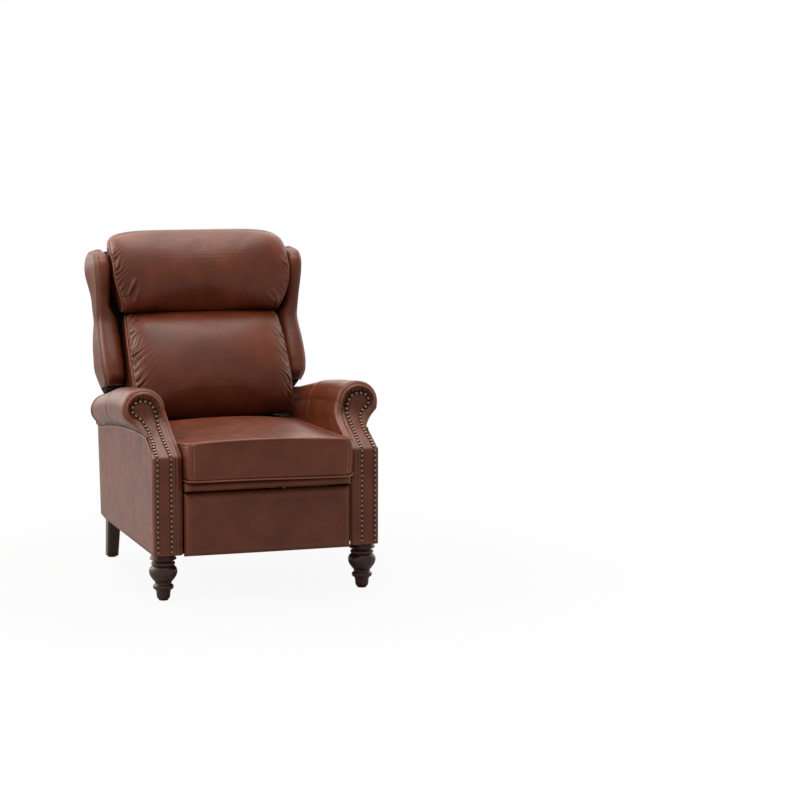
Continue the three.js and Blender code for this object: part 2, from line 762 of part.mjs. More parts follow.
function seatCushion() {
  const place = (shares) => shares.map(([deep, high]) => [
    -cushionOverhang + deep * seatDepth, cushionBottom + high * cushionHeight]);
  const cushion = stuffed({ halfWidth: cushionHalfWidth, middle: place(cushionMiddleShares),
    end: place(cushionEndShares), fullness: 7, count: 40, stations: 9 });
  return trimmed(cushion, [-armInnerX, armInnerX], [-2 * cushionOverhang, seatDepth],
    [cushionBottom, cushionBottom + 2 * cushionHeight]);
}

add('seat_springs', seatSprings(), 'springSteel');
add('seat_band', seatBand(), 'leather');
add('seat_cushion', seatCushion(), 'leather');

// Back: drawn upright about its pivot, with its front towards -Y, then leaned

backGroup.position.set(0, backPivotY, backPivotZ);
backGroup.rotation.x = -backLean;

const uprightFront = 8;
const uprightDepth = 32;
const uprightWidth = 22;
const uprightBottom = -150;
const backRailHeight = 40;
const topRailBelowPillow = 8;
const backTop = backHeight - topRailBelowPillow;
const backSkin = 12;
const uprightX = [layer(1)[0] - fit - uprightWidth, layer(1)[0] - fit];
const uprightY = [uprightFront, uprightFront + uprightDepth];
const backPanelY = [uprightY[1] + fit, uprightY[1] + fit + backSkin];
const backRailX = uprightX[0] - fit;

function backUpright() {
  return block(uprightX, uprightY, [uprightBottom, backTop]);
}

function backRail(bottom) {
  return block([-backRailX, backRailX], uprightY, [bottom, bottom + backRailHeight]);
}

const backBracketHeight = 130;

// A steel strap beside the upright, with the rivet that turns in the seat's side plate
function backBracket() {
  const half = pivotBoss;
  const strap = slabAlongX([
    [-half, -half], [uprightY[1], -half - backBracketHeight / 2], [uprightY[1], backBracketHeight],
    [uprightFront, backBracketHeight], [uprightFront, 2 * half], [-half, half]], hangingLinkLayer);
  return join(strap, rivet([0, 0], hangingLinkLayer, sidePlateLayer));
}

// Woven straps across the frame, which carry the pillows
const strapWidth = 50;
const strapThickness = 2;
const strapRows = 6;
const strapColumns = 4;
const strapY = [uprightFront - fit - strapThickness, uprightFront - fit];
const webbingBottom = 60;

function backWebbing() {
  const top = backTop - backRailHeight - strapWidth;
  const reach = uprightX[1];
  const straps = [];
  for (let i = 0; i < strapRows; i += 1) {
    const bottom = THREE.MathUtils.lerp(webbingBottom, top, i / (strapRows - 1));
    straps.push(block([-reach, reach], strapY, [bottom, bottom + strapWidth]));
  }
  for (let i = 0; i < strapColumns; i += 1) {
    const x = THREE.MathUtils.lerp(-reach + strapWidth, reach - 2 * strapWidth, i / (strapColumns - 1));
    straps.push(block([x, x + strapWidth], strapY, [webbingBottom, top + strapWidth]));
  }
  return join(...straps);
}

addPair('back_upright', backUpright(), 'frameWood', backGroup);
add('back_top_rail', backRail(backTop - backRailHeight), 'frameWood', backGroup);
add('back_bottom_rail', backRail(uprightBottom), 'frameWood', backGroup);
addPair('back_bracket', backBracket(), 'steel', backGroup);
add('back_webbing', backWebbing(), 'webbing', backGroup);

// Wings. Each is a loft of level sections, from its tucked-in foot up to its top.

const wingArmGap = 2;
const wingBottom = (rollEndTop + wingArmGap - backPivotZ) / Math.cos(backLean);
const wingTopDrop = 51;
const wingHeight = backHeight - wingTopDrop - wingBottom;
const wingReach = 85;
const wingOverhang = 5;
const wingHalfSpan = armOuterX + wingOverhang;
const wingTuck = 36;
const wingPillowGap = 10;
const pillowClearance = 2;
const headOverlap = 36;
const headHalfWidth = backHalfWidth + headOverlap;
const wingInnerX = backHalfWidth + wingPillowGap;
const wingHollow = headHalfWidth + pillowClearance - wingInnerX;
const wingRearY = uprightY[1];
// Rows of shares: of the wing's height, of its reach, of its tuck at the front and rear corners, and of the hollow
// that its inner side leaves for the head pillow
const wingRowShares = [
  { up: 0, front: -0.05, tuckFront: 0.94, tuckRear: 1, hollow: 0 },
  { up: 0.045, front: 0.59, tuckFront: 0.75, tuckRear: 0.72, hollow: 0 },
  { up: 0.08, front: 0.92, tuckFront: 0.64, tuckRear: 0.56, hollow: 0 },
  { up: 0.17, front: 1, tuckFront: 0.44, tuckRear: 0.22, hollow: 0 },
  { up: 0.26, front: 0.88, tuckFront: 0.42, tuckRear: 0.18, hollow: 0 },
  { up: 0.355, front: 0.68, tuckFront: 0.44, tuckRear: 0.19, hollow: 0 },
  { up: 0.445, front: 0.46, tuckFront: 0.5, tuckRear: 0.29, hollow: 0 },
  { up: 0.52, front: 0.33, tuckFront: 0.53, tuckRear: 0.39, hollow: 0.08 },
  { up: 0.6, front: 0.4, tuckFront: 0.5, tuckRear: 0.33, hollow: 1 },
  { up: 0.68, front: 0.56, tuckFront: 0.44, tuckRear: 0.28, hollow: 1 },
  { up: 0.76, front: 0.77, tuckFront: 0.37, tuckRear: 0.17, hollow: 1 },
  { up: 0.835, front: 0.91, tuckFront: 0.31, tuckRear: 0.06, hollow: 1 },
  { up: 0.92, front: 0.87, tuckFront: 0.28, tuckRear: 0, hollow: 1.1 },
  { up: 0.97, front: 0.62, tuckFront: 0.36, tuckRear: 0.06, hollow: 1.2 },
  { up: 1, front: 0.21, tuckFront: 0.56, tuckRear: 0.22, hollow: 1.45 },
];
const wingRows = wingRowShares.map((row) => ({
  z: wingBottom + row.up * wingHeight,
  front: -row.front * wingReach,
  outerFront: wingHalfSpan - row.tuckFront * wingTuck,
  outerRear: wingHalfSpan - row.tuckRear * wingTuck,
  inner: wingInnerX + row.hollow * wingHollow,
}));

function wingSection({ z, front, outerFront, outerRear, inner }) {
  const nose = Math.min(outerFront - inner, wingRearY - front) / 3;
  const shape = new THREE.Shape();
  shape.moveTo(inner, wingRearY);
  shape.lineTo(inner, front + 2 * nose);
  shape.quadraticCurveTo(inner, front + nose / 2, inner + nose, front + nose / 3);
  shape.lineTo(outerFront - nose, front);
  shape.quadraticCurveTo(outerFront, front, outerFront, front + nose);
  shape.lineTo(outerRear, wingRearY);
  return shape.getPoints(4).map((p) => new THREE.Vector3(p.x, p.y, z));
}

function wing() {
  return loft(wingRows.map(wingSection));
}

const shoulderInset = 20;
const archDrop = 10;
const archRise = 4;
const backPanelTop = backTop + archRise;

// The outer back: narrow between the arms, then out behind the wings, with an arched top
function outerBack() {
  const narrow = backHalfWidth;
  const right = [[narrow, uprightBottom], [narrow, wingBottom - 2 * fit]];
  wingRows.forEach(({ z, outerRear }) => right.push([outerRear, z]));
  const left = right.map(([x, z]) => [-x, z]).reverse();
  const shoulderX = headHalfWidth - shoulderInset;
  const shoulder = [[shoulderX, backTop - archDrop], [0, backPanelTop], [-shoulderX, backTop - archDrop]];
  return slabAlongY([...right, ...shoulder, ...left], backPanelY);
}

addPair('wing', wing(), 'leather', backGroup);
add('outer_back', outerBack(), 'leather', backGroup);

// Back pillow and head pillow

const pillowRear = strapY[0] - fit;
const pillowSideSwell = 4;
const pillowHalfWidth = backHalfWidth + pillowSideSwell;
const pillowSwell = 215;
const pillowSeatGap = 6;
const pillowUndersideShare = 0.8;
const headPillowDrop = 260;
const pillowTop = backHeight - headPillowDrop;
// The pillow's foot stays just above the seat cushion, which it overhangs
const cushionTopAtBack = cushionBottom + cushionTopAtBackShare[1] * cushionHeight;
const pillowLean = (pillowUndersideShare * pillowSwell - pillowRear) * Math.sin(backLean);
const pillowBottom = (cushionTopAtBack + pillowSeatGap - backPivotZ - pillowLean) / Math.cos(backLean);
// Side outlines of the pillows: [share of the swell in front of the rear face, share of the height]
const pillowMiddleShares = [
  [0, 0.03], [0, 0.25], [0, 0.5], [0, 0.75], [0, 0.95], [0.12, 1], [0.4, 0.99], [0.63, 0.91], [0.83, 0.73],
  [0.96, 0.51], [1, 0.3], [0.95, 0.1], [0.78, 0], [0.5, 0.01], [0.2, 0.02],
];
const pillowEndShares = [
  [0, 0.06], [0, 0.25], [0, 0.5], [0, 0.75], [0, 0.88], [0.08, 0.93], [0.2, 0.92], [0.32, 0.86], [0.49, 0.71],
  [0.62, 0.51], [0.7, 0.31], [0.7, 0.13], [0.6, 0.05], [0.4, 0.04], [0.2, 0.05],
];

function backPillow() {
  const place = (shares) => shares.map(([forward, up]) => [
    pillowRear - forward * pillowSwell, THREE.MathUtils.lerp(pillowBottom, pillowTop, up)]);
  const pillow = stuffed({ halfWidth: pillowHalfWidth, middle: place(pillowMiddleShares),
    end: place(pillowEndShares), fullness: 4, count: 36, stations: 9 });
  return trimmed(pillow, [-armInnerX, armInnerX], [pillowRear - 2 * pillowSwell, pillowRear],
    [pillowBottom - overrun, pillowTop]);
}

const headRise = 6;
const headBottom = pillowTop + pillowClearance;
const headTop = backHeight + headRise;
const headSwell = 136;
// The head pillow laps over the top of the back, so its first points lie behind the rear face
const headMiddleShares = [
  [0, 0.03], [0, 0.3], [0, 0.6], [0, 0.85], [0, 0.965], [-0.2, 0.985], [-0.36, 0.99], [-0.3, 1.02], [0, 1.03],
  [0.35, 1.02], [0.7, 0.95], [0.93, 0.77], [1, 0.52], [0.98, 0.26], [0.82, 0.07], [0.45, 0], [0.2, 0.005],
];
const headEndShares = [
  [0, 0.14], [0, 0.3], [0, 0.55], [0, 0.75], [0, 0.86], [-0.1, 0.89], [-0.16, 0.9], [-0.14, 0.915], [0, 0.91],
  [0.17, 0.87], [0.35, 0.78], [0.5, 0.64], [0.58, 0.46], [0.58, 0.28], [0.5, 0.14], [0.34, 0.06], [0.14, 0.07],
];

function headPillow() {
  const height = headTop - headBottom;
  const onPillow = ([forward, up]) => [pillowRear - forward * headSwell, headBottom + up * height];
  const pillow = stuffed({ halfWidth: headHalfWidth, middle: headMiddleShares.map(onPillow),
    end: headEndShares.map(onPillow), fullness: 5, count: 40, stations: 9 });
  const backOfHead = block([-headHalfWidth - overrun, headHalfWidth + overrun],
    [pillowRear, backPanelY[1] + headSwell], [headBottom - overrun, backPanelTop + fit]);
  return cut(pillow, backOfHead);
}

add('back_pillow', backPillow(), 'leather', backGroup);
add('head_pillow', headPillow(), 'leather', backGroup);

// The part's origin is the middle of its footprint, on the floor
recliner.updateMatrixWorld(true);
const extent = new THREE.Box3().setFromObject(recliner, true);
const centre = extent.getCenter(new THREE.Vector3());
recliner.position.set(-centre.x, -centre.y, -extent.min.z);

export default recliner;
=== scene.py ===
import json
import math

import bmesh
import bpy
import numpy as np
from mathutils import Matrix, Vector
from mathutils.bvhtree import BVHTree


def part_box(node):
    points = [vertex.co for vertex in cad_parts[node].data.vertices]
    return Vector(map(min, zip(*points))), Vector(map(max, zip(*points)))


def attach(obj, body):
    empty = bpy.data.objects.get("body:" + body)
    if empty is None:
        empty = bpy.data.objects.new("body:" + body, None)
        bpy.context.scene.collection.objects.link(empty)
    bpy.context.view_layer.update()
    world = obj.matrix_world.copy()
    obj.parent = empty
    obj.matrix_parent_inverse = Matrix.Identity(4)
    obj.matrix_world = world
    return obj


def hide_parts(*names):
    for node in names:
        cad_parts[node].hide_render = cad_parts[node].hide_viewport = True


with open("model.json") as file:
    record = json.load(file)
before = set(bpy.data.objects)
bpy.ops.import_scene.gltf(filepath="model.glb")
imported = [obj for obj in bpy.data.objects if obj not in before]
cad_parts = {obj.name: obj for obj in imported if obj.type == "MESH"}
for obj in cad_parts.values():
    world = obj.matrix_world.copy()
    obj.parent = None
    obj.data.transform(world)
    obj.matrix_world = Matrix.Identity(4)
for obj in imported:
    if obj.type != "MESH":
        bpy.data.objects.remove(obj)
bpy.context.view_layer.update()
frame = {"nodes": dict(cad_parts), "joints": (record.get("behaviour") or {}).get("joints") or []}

# A push-back wing chair in brown leather. Shapes are drawn in millimetres: x runs across the chair, y back from the
# arms' front faces and z up from the floor. Left and right are those of someone who faces the chair.
MM = 0.001
FRONT_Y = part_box("left_arm_front_panel")[0].y / MM
RECLINE = next(joint for joint in frame["joints"] if joint["name"] == "back_recline")
PIVOT_Y = RECLINE["pos_m"][1] / MM - FRONT_Y
PIVOT_Z = RECLINE["pos_m"][2] / MM
BACK_LEAN = math.radians(12)
SIDES = (("left", -1), ("right", 1))


def in_frame(points):
    """Chair millimetres to frame metres."""
    placed = np.array(points, float)
    placed[..., 1] += FRONT_Y
    return placed * MM


def leaned(points):
    """Millimetres about the back's pivot, upright, to chair millimetres."""
    upright = np.array(points, float)
    y = PIVOT_Y + upright[..., 1] * math.cos(BACK_LEAN) + upright[..., 2] * math.sin(BACK_LEAN)
    z = PIVOT_Z - upright[..., 1] * math.sin(BACK_LEAN) + upright[..., 2] * math.cos(BACK_LEAN)
    return np.stack([upright[..., 0], y, z], axis=-1)


def upright(points):
    """Chair millimetres to millimetres about the back's pivot, upright."""
    placed = np.array(points, float)
    dy = placed[..., 1] - PIVOT_Y
    dz = placed[..., 2] - PIVOT_Z
    y = dy * math.cos(BACK_LEAN) - dz * math.sin(BACK_LEAN)
    z = dy * math.sin(BACK_LEAN) + dz * math.cos(BACK_LEAN)
    return np.stack([placed[..., 0], y, z], axis=-1)


def in_chair(points):
    """Frame metres to chair millimetres."""
    placed = np.array(points, float) / MM
    placed[..., 1] -= FRONT_Y
    return placed


# Curves

def through(knots, values, at):
    """A smooth curve through (knot, value) pairs, straight past the ends."""
    knots = np.array(knots, float)
    values = np.array(values, float)
    slopes = np.gradient(values, knots, axis=0)
    at = np.asarray(at, float)
    seat = np.clip(np.searchsorted(knots, at) - 1, 0, len(knots) - 2)
    span = knots[seat + 1] - knots[seat]
    t = np.clip((at - knots[seat]) / span, 0, 1)
    extra = [1] * (values.ndim - 1)
    t = t.reshape(t.shape + tuple(extra))
    span = span.reshape(span.shape + tuple(extra))
    return ((2 * t**3 - 3 * t**2 + 1) * values[seat] + (t**3 - 2 * t**2 + t) * span * slopes[seat]
            + (3 * t**2 - 2 * t**3) * values[seat + 1] + (t**3 - t**2) * span * slopes[seat + 1])


def resampled(points, count, closed=False):
    """A polyline cut into equal steps."""
    points = np.array(points, float)
    if closed:
        points = np.vstack([points, points[:1]])
    reach = np.concatenate([[0], np.cumsum(np.linalg.norm(np.diff(points, axis=0), axis=1))])
    marks = np.linspace(0, reach[-1], count, endpoint=not closed)
    return np.stack([np.interp(marks, reach, points[:, axis]) for axis in range(points.shape[1])], axis=-1)


def smooth_ring(points, count):
    """A closed smooth curve through points, in equal steps."""
    points = np.array(points, float)
    fine = []
    for i in range(len(points)):
        a, b, c, d = (points[(i + k) % len(points)] for k in (-1, 0, 1, 2))
        for t in np.linspace(0, 1, 12, endpoint=False):
            fine.append(0.5 * (2 * b + (c - a) * t + (2 * a - 5 * b + 4 * c - d) * t**2
                               + (3 * b - a - 3 * c + d) * t**3))
    return resampled(fine, count, closed=True)


def quadratic(start, control, end, count=12):
    t = np.linspace(0, 1, count)[:, None]
    return (1 - t)**2 * np.array(start, float) + 2 * t * (1 - t) * np.array(control) + t**2 * np.array(end)


def circle_part(centre, radius, start, end, count=24):
    angles = np.radians(np.linspace(start, end, count))
    return np.stack([centre[0] + radius * np.cos(angles), centre[1] + radius * np.sin(angles)], axis=-1)


def joined(*parts):
    return np.vstack(parts)


def step(x, low, high):
    t = np.clip((np.asarray(x, float) - low) / (high - low), 0, 1)
    return t * t * (3 - 2 * t)


def hump(x, middle, width):
    return np.exp(-((np.asarray(x, float) - middle) / width)**2)


def ripple(t, seed, waves=5):
    """A smooth irregular curve between about -1 and 1."""
    total = 0
    for k in range(waves):
        total = total + np.sin(t * (1 + 0.73 * k) + seed * (1.7 + 2.3 * k)) / (1 + 0.4 * k)
    return total / 2.2


# Meshes

def grid_faces(rows, columns, wrap=False):
    """Quads over rows of points. With `wrap`, each row closes on itself."""
    faces = []
    for r in range(rows - 1):
        for c in range(columns if wrap else columns - 1):
            d = (c + 1) % columns
            faces.append((r * columns + c, r * columns + d, (r + 1) * columns + d, (r + 1) * columns + c))
    return faces


def grid_normals(points):
    """Unit normals of a grid of points."""
    normals = np.cross(np.gradient(points, axis=0), np.gradient(points, axis=1))
    return normals / np.maximum(np.linalg.norm(normals, axis=-1, keepdims=True), 1e-9)


def read_points(mesh, kind="co"):
    values = np.zeros(len(mesh.vertices) * 3)
    mesh.vertices.foreach_get(kind, values)
    return values.reshape(-1, 3)


def write_points(mesh, points):
    mesh.vertices.foreach_set("co", np.ascontiguousarray(points, float).ravel())
    mesh.update()


def neighbours(mesh):
    """The ends of each edge, taken both ways, and the number of edges at each point."""
    edges = np.zeros(len(mesh.edges) * 2, int)
    mesh.edges.foreach_get("vertices", edges)
    first, second = edges.reshape(-1, 2).T
    ends = np.concatenate([first, second])
    others = np.concatenate([second, first])
    return ends, others, np.maximum(np.bincount(ends, minlength=len(mesh.vertices)), 1)


def neighbour_means(values, ends, others, degree):
    return np.stack([np.bincount(ends, column[others], len(degree)) / degree for column in values.T], axis=-1)


def evened(mesh, values, passes):
    """Values at the points of a mesh, each drawn towards the mean of its neighbours."""
    edges = neighbours(mesh)
    for _ in range(passes):
        values = (values + neighbour_means(values, *edges)) / 2
    return values


# How hollows and ridges are found; the leather paints shade in the hollows and a highlight on the ridges from this
FOLD_PASSES = 3
BROAD_PASSES = 24
BROAD_SHARE = 1.4
FOLD_BEND = 60


def mark_folds(mesh):
    """Stores how far each point lies on a ridge (1) or in a hollow (0) of its surface."""
    ends, others, degree = neighbours(mesh)
    points = read_points(mesh)
    lengths = np.linalg.norm(points[ends] - points[others], axis=1)
    spacing = np.bincount(ends, lengths**2, len(degree)) / degree
    rise = points - neighbour_means(points, ends, others, degree)
    bend = np.einsum("ij,ij->i", rise, read_points(mesh, "normal")) / np.maximum(spacing, 1e-9)
    bend = evened(mesh, bend[:, None], FOLD_PASSES)
    broad = evened(mesh, bend, BROAD_PASSES)
    ridge = 0.5 + 0.5 * np.tanh((bend + BROAD_SHARE * broad) / FOLD_BEND)
    mesh.attributes.new("ridge", "FLOAT", "POINT").data.foreach_set("value", ridge.ravel())


def make_object(name, points, faces, merge=0.0):
    """An object from chair millimetres. Points closer than `merge` become one."""
    mesh = bpy.data.meshes.new(name)
    mesh.from_pydata([tuple(p) for p in in_frame(points).reshape(-1, 3)], [], faces)
    work = bmesh.new()
    work.from_mesh(mesh)
    if merge:
        bmesh.ops.remove_doubles(work, verts=work.verts, dist=merge * MM)
        bmesh.ops.dissolve_degenerate(work, edges=work.edges, dist=merge * MM / 4)
    bmesh.ops.recalc_face_normals(work, faces=work.faces)
    for face in work.faces:
        face.smooth = True
    work.to_mesh(mesh)
    work.free()
    piece = bpy.data.objects.new(name, mesh)
    bpy.context.scene.collection.objects.link(piece)
    return piece


def finish_piece(piece, material, body, nodes=()):
    """Gives a piece its material and its body, and hides the CAD nodes that it stands for."""
    mark_folds(piece.data)
    piece.data.materials.clear()
    piece.data.materials.append(material)
    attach(piece, body)
    if nodes:
        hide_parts(*nodes)


def thicken(piece, thickness):
    """Gives an open skin its thickness, inwards."""
    shell = piece.modifiers.new("thickness", "SOLIDIFY")
    shell.thickness = thickness * MM
    shell.offset = -1
    shell.use_even_offset = False


TRIM_SIDES = 8


def rings_round(path, radius, closed):
    """Rings of points round a path, kept from twisting."""
    path = np.array(path, float)
    if closed:
        tangents = np.roll(path, -1, axis=0) - np.roll(path, 1, axis=0)
    else:
        tangents = np.gradient(path, axis=0)
    tangents /= np.maximum(np.linalg.norm(tangents, axis=1, keepdims=True), 1e-9)
    normal = np.cross(tangents[0], [0.31, 0.52, 0.8])
    normal /= np.linalg.norm(normal)
    angles = np.linspace(0, 2 * math.pi, TRIM_SIDES, endpoint=False)
    rings = []
    for point, tangent in zip(path, tangents):
        normal = normal - tangent * normal.dot(tangent)
        normal /= np.linalg.norm(normal)
        side = np.cross(tangent, normal)
        rings.append([point + radius * (math.cos(a) * normal + math.sin(a) * side) for a in angles])
    return np.array(rings)


def trim(name, paths, radius, material, body, closed=False):
    """Piping or a seam: one piece made of a round cord along each path."""
    points = []
    faces = []
    sides = range(TRIM_SIDES)
    for path in paths:
        rings = rings_round(path, radius, closed)
        part = grid_faces(len(rings), TRIM_SIDES, wrap=True)
        last = (len(rings) - 1) * TRIM_SIDES
        if closed:
            part += [(last + c, last + (c + 1) % TRIM_SIDES, (c + 1) % TRIM_SIDES, c) for c in sides]
        else:
            part += [tuple(sides), tuple(last + c for c in sides)]
        faces += [tuple(len(points) + i for i in face) for face in part]
        points += list(rings.reshape(-1, 3))
    finish_piece(make_object(name, np.array(points), faces), material, body)


def closed_loft(name, rings, merge=0.05):
    """A closed form through rings, with its ends drawn to their middles."""
    rings = np.array(rings, float)
    count = rings.shape[1]
    caps = [np.repeat(ring.mean(axis=0)[None], count, axis=0)[None] for ring in (rings[0], rings[-1])]
    whole = np.concatenate([caps[0], rings, caps[1]])
    return make_object(name, whole, grid_faces(len(whole), count, wrap=True), merge=merge)


# Stuffing: a cover is blown up like a cushion, held at its seams and where it is fixed

STUFFING_PRESSURE = 4.0
STUFFING_FRAMES = 20
STUFFING_QUALITY = 4
EVEN_PASSES = 16


def settled(piece):
    """Applies the piece's modifiers."""
    graph = bpy.context.evaluated_depsgraph_get()
    made = bpy.data.meshes.new_from_object(piece.evaluated_get(graph), depsgraph=graph)
    piece.modifiers.clear()
    piece.data = made
    made.polygons.foreach_set("use_smooth", [True] * len(made.polygons))
    return made


def blown_up(piece, start, hold, reach):
    """Where the cover's points lie after the simulation, at most `reach` metres from where they began."""
    group = piece.vertex_groups.new(name="held")
    for number, weight in enumerate(hold):
        group.add([number], float(weight), "REPLACE")
    cloth = piece.modifiers.new("stuffing", "CLOTH")
    cloth.settings.quality = STUFFING_QUALITY
    cloth.settings.use_pressure = True
    cloth.settings.uniform_pressure_force = STUFFING_PRESSURE
    cloth.settings.vertex_group_mass = group.name
    cloth.settings.effector_weights.gravity = 0
    cloth.point_cache.frame_start = 1
    cloth.point_cache.frame_end = STUFFING_FRAMES
    for number in range(1, STUFFING_FRAMES + 1):
        bpy.context.scene.frame_set(number)
    end = read_points(settled(piece))
    bpy.context.scene.frame_set(1)
    piece.vertex_groups.clear()
    moved = evened(piece.data, end - start, EVEN_PASSES)
    length = np.maximum(np.linalg.norm(moved, axis=1, keepdims=True), 1e-9)
    return start + moved / length * reach * np.tanh(length / reach)


def stuffed_cover(piece, voxel, holds, cap, relief):
    """Turns a form into a stuffed cover. `holds` and `relief` take chair millimetres; lengths are millimetres."""
    remesh = piece.modifiers.new("even", "REMESH")
    remesh.mode = "VOXEL"
    remesh.voxel_size = voxel * MM
    mesh = settled(piece)
    start = read_points(mesh)
    held = holds(in_chair(start))
    end = blown_up(piece, start, held, cap * MM)
    write_points(piece.data, end)
    piece.modifiers.new("smooth", "SUBSURF").levels = 1
    mesh = settled(piece)
    points = read_points(mesh)
    normals = read_points(mesh, "normal")
    write_points(mesh, points + normals * relief(in_chair(points))[:, None] * MM)


# Materials

def put(tree, socket, value):
    """Links a socket to another one, or sets its value."""
    if isinstance(value, bpy.types.NodeSocket):
        tree.links.new(value, socket)
    else:
        socket.default_value = value


def node(tree, kind, inputs=None, **settings):
    made = tree.nodes.new(kind)
    for key, value in settings.items():
        setattr(made, key, value)
    for key, value in (inputs or {}).items():
        put(tree, made.inputs[key], value)
    return made


def linear(colour):
    """A colour written as #rrggbb, as shader values."""
    parts = [int(colour[i:i + 2], 16) / 255 for i in (1, 3, 5)]
    return tuple(c / 12.92 if c <= 0.04045 else ((c + 0.055) / 1.055)**2.4 for c in parts) + (1,)


def ramp(tree, factor, stops):
    """A colour that follows a factor through (position, colour) stops."""
    made = node(tree, "ShaderNodeValToRGB", {"Fac": factor})
    elements = made.color_ramp.elements
    elements[0].position, elements[0].color = stops[0][0], linear(stops[0][1])
    elements[1].position, elements[1].color = stops[-1][0], linear(stops[-1][1])
    for position, colour in stops[1:-1]:
        elements.new(position).color = linear(colour)
    return made.outputs["Color"]


def span(tree, value, low, high, to_low, to_high):
    """A value's range turned into another one."""
    made = node(tree, "ShaderNodeMapRange", {"Value": value, "From Min": low, "From Max": high,
                                             "To Min": to_low, "To Max": to_high})
    return made.outputs["Result"]


def new_material(name, **shader_values):
    made = bpy.data.materials.new(name)
    made.use_nodes = True
    shader = made.node_tree.nodes["Principled BSDF"]
    for key, value in shader_values.items():
        shader.inputs[key.replace("_", " ")].default_value = value
    return made, made.node_tree, shader


def object_place(tree):
    return node(tree, "ShaderNodeTexCoord").outputs["Object"]


def noise(tree, scale, detail, roughness, stretch=None):
    place = object_place(tree)
    if stretch:
        place = node(tree, "ShaderNodeMapping", {"Vector": place, "Scale": stretch}).outputs["Vector"]
    made = node(tree, "ShaderNodeTexNoise", {"Vector": place, "Scale": scale, "Detail": detail,
                                             "Roughness": roughness})
    return made.outputs["Fac"]


def blended(tree, first, second, factor, kind="MIX"):
    made = node(tree, "ShaderNodeMix", {0: factor, 6: first, 7: second}, data_type="RGBA", blend_type=kind)
    return made.outputs[2]


def surface(tree, shader, colour, roughness, layers):
    """Sets the shader's colour and roughness, and chains (height, strength, distance) layers into its normal."""
    put(tree, shader.inputs["Base Color"], colour)
    put(tree, shader.inputs["Roughness"], roughness)
    for height, strength, distance in layers:
        bump = node(tree, "ShaderNodeBump", {"Height": height, "Strength": strength, "Distance": distance})
        normal = shader.inputs["Normal"]
        if normal.is_linked:
            tree.links.new(normal.links[0].from_socket, bump.inputs["Normal"])
        tree.links.new(bump.outputs["Normal"], normal)


# Painted shade for the leather's creases and hollows, and a paler colour for its ridges that is partly rubbed wear
# and partly painted highlight
FOLD_SHADE_COLOUR = "#1e0c07"
WORN_HIGHLIGHT_COLOUR = "#9a6248"


def leather_material(name, dark, middle, light, rough):
    """Waxed leather: cloudy brown, with painted shade in its folds and paler ridges that are partly rubbed wear and
    partly painted highlight, and a fine pebbled grain.
    """
    made, tree, shader = new_material(name, Coat_Weight=0.1, Coat_Roughness=0.3, Specular_IOR_Level=0.4)
    clouds = noise(tree, 9.0, 5.0, 0.55)
    blotches = noise(tree, 38.0, 4.0, 0.6)
    creases = noise(tree, 140.0, 5.0, 0.62, stretch=(1.0, 0.55, 0.8))
    cells = node(tree, "ShaderNodeTexVoronoi", {"Vector": object_place(tree), "Scale": 620.0}).outputs["Distance"]
    ridge = node(tree, "ShaderNodeAttribute", attribute_name="ridge").outputs["Fac"]
    speckle = ramp(tree, blotches, ((0.3, "#8f8f8f"), (0.7, "#ffffff")))
    colour = ramp(tree, clouds, ((0.3, dark), (0.5, middle), (0.74, light)))
    colour = blended(tree, colour, speckle, 0.2, "MULTIPLY")
    # Painted shade darkens the hollows; the ridges get wear and a painted highlight
    colour = blended(tree, linear(FOLD_SHADE_COLOUR), colour, span(tree, ridge, 0.12, 0.47, 0.2, 1.0))
    colour = blended(tree, colour, linear(WORN_HIGHLIGHT_COLOUR), span(tree, ridge, 0.56, 0.95, 0.0, 0.3))
    roughness = span(tree, blotches, 0.3, 0.7, rough - 0.06, rough + 0.1)
    surface(tree, shader, colour, roughness, ((creases, 0.35, 0.0012), (cells, 0.4, 0.00035)))
    return made


# Finishes that follow one noise pattern (scale, detail, roughness, stretch): where its two colours stand, how much
# rougher its light parts are, and the strength and depth of its relief
WOOD = {"pattern": (6.0, 6.0, 0.62, (30.0, 30.0, 2.4)), "stops": (0.33, 0.66), "spread": 0.12,
        "relief": (0.2, 0.0004), "Coat_Roughness": 0.12}
METAL = {"pattern": (90.0, 4.0, 0.6), "stops": (0.35, 0.68), "spread": 0.15, "relief": (0.15, 0.0003)}
MOULDED = {"pattern": (300.0, 3.0, 0.5), "stops": (0.3, 0.7), "spread": 0.0, "relief": (0.2, 0.0002)}


def patterned_material(name, dark, light, rough, pattern, stops, spread, relief, **shader_values):
    made, tree, shader = new_material(name, **shader_values)
    grain = noise(tree, *pattern)
    colour = ramp(tree, grain, ((stops[0], dark), (stops[1], light)))
    roughness = span(tree, grain, 0.3, 0.7, rough, rough + spread) if spread else rough
    surface(tree, shader, colour, roughness, ((grain, *relief),))
    return made


def nail_material(name, rim, middle, crown, rough):
    """Antique brass, dark round each head, partly patina and partly painted shadow of the recess, and bright on its
    crown, partly rubbed brass and partly a painted highlight.
    """
    made, tree, shader = new_material(name, Metallic=0.45)
    height = node(tree, "ShaderNodeAttribute", attribute_name="crown").outputs["Fac"]
    wear = noise(tree, 420.0, 4.0, 0.6)
    colour = ramp(tree, height, ((0.2, rim), (0.62, middle), (1.0, crown)))
    tarnish = ramp(tree, wear, ((0.35, "#a0a0a0"), (0.68, "#ffffff")))
    colour = blended(tree, colour, tarnish, 0.7, "MULTIPLY")
    surface(tree, shader, colour, span(tree, wear, 0.3, 0.7, rough, rough + 0.15), ((wear, 0.15, 0.0003),))
    return made


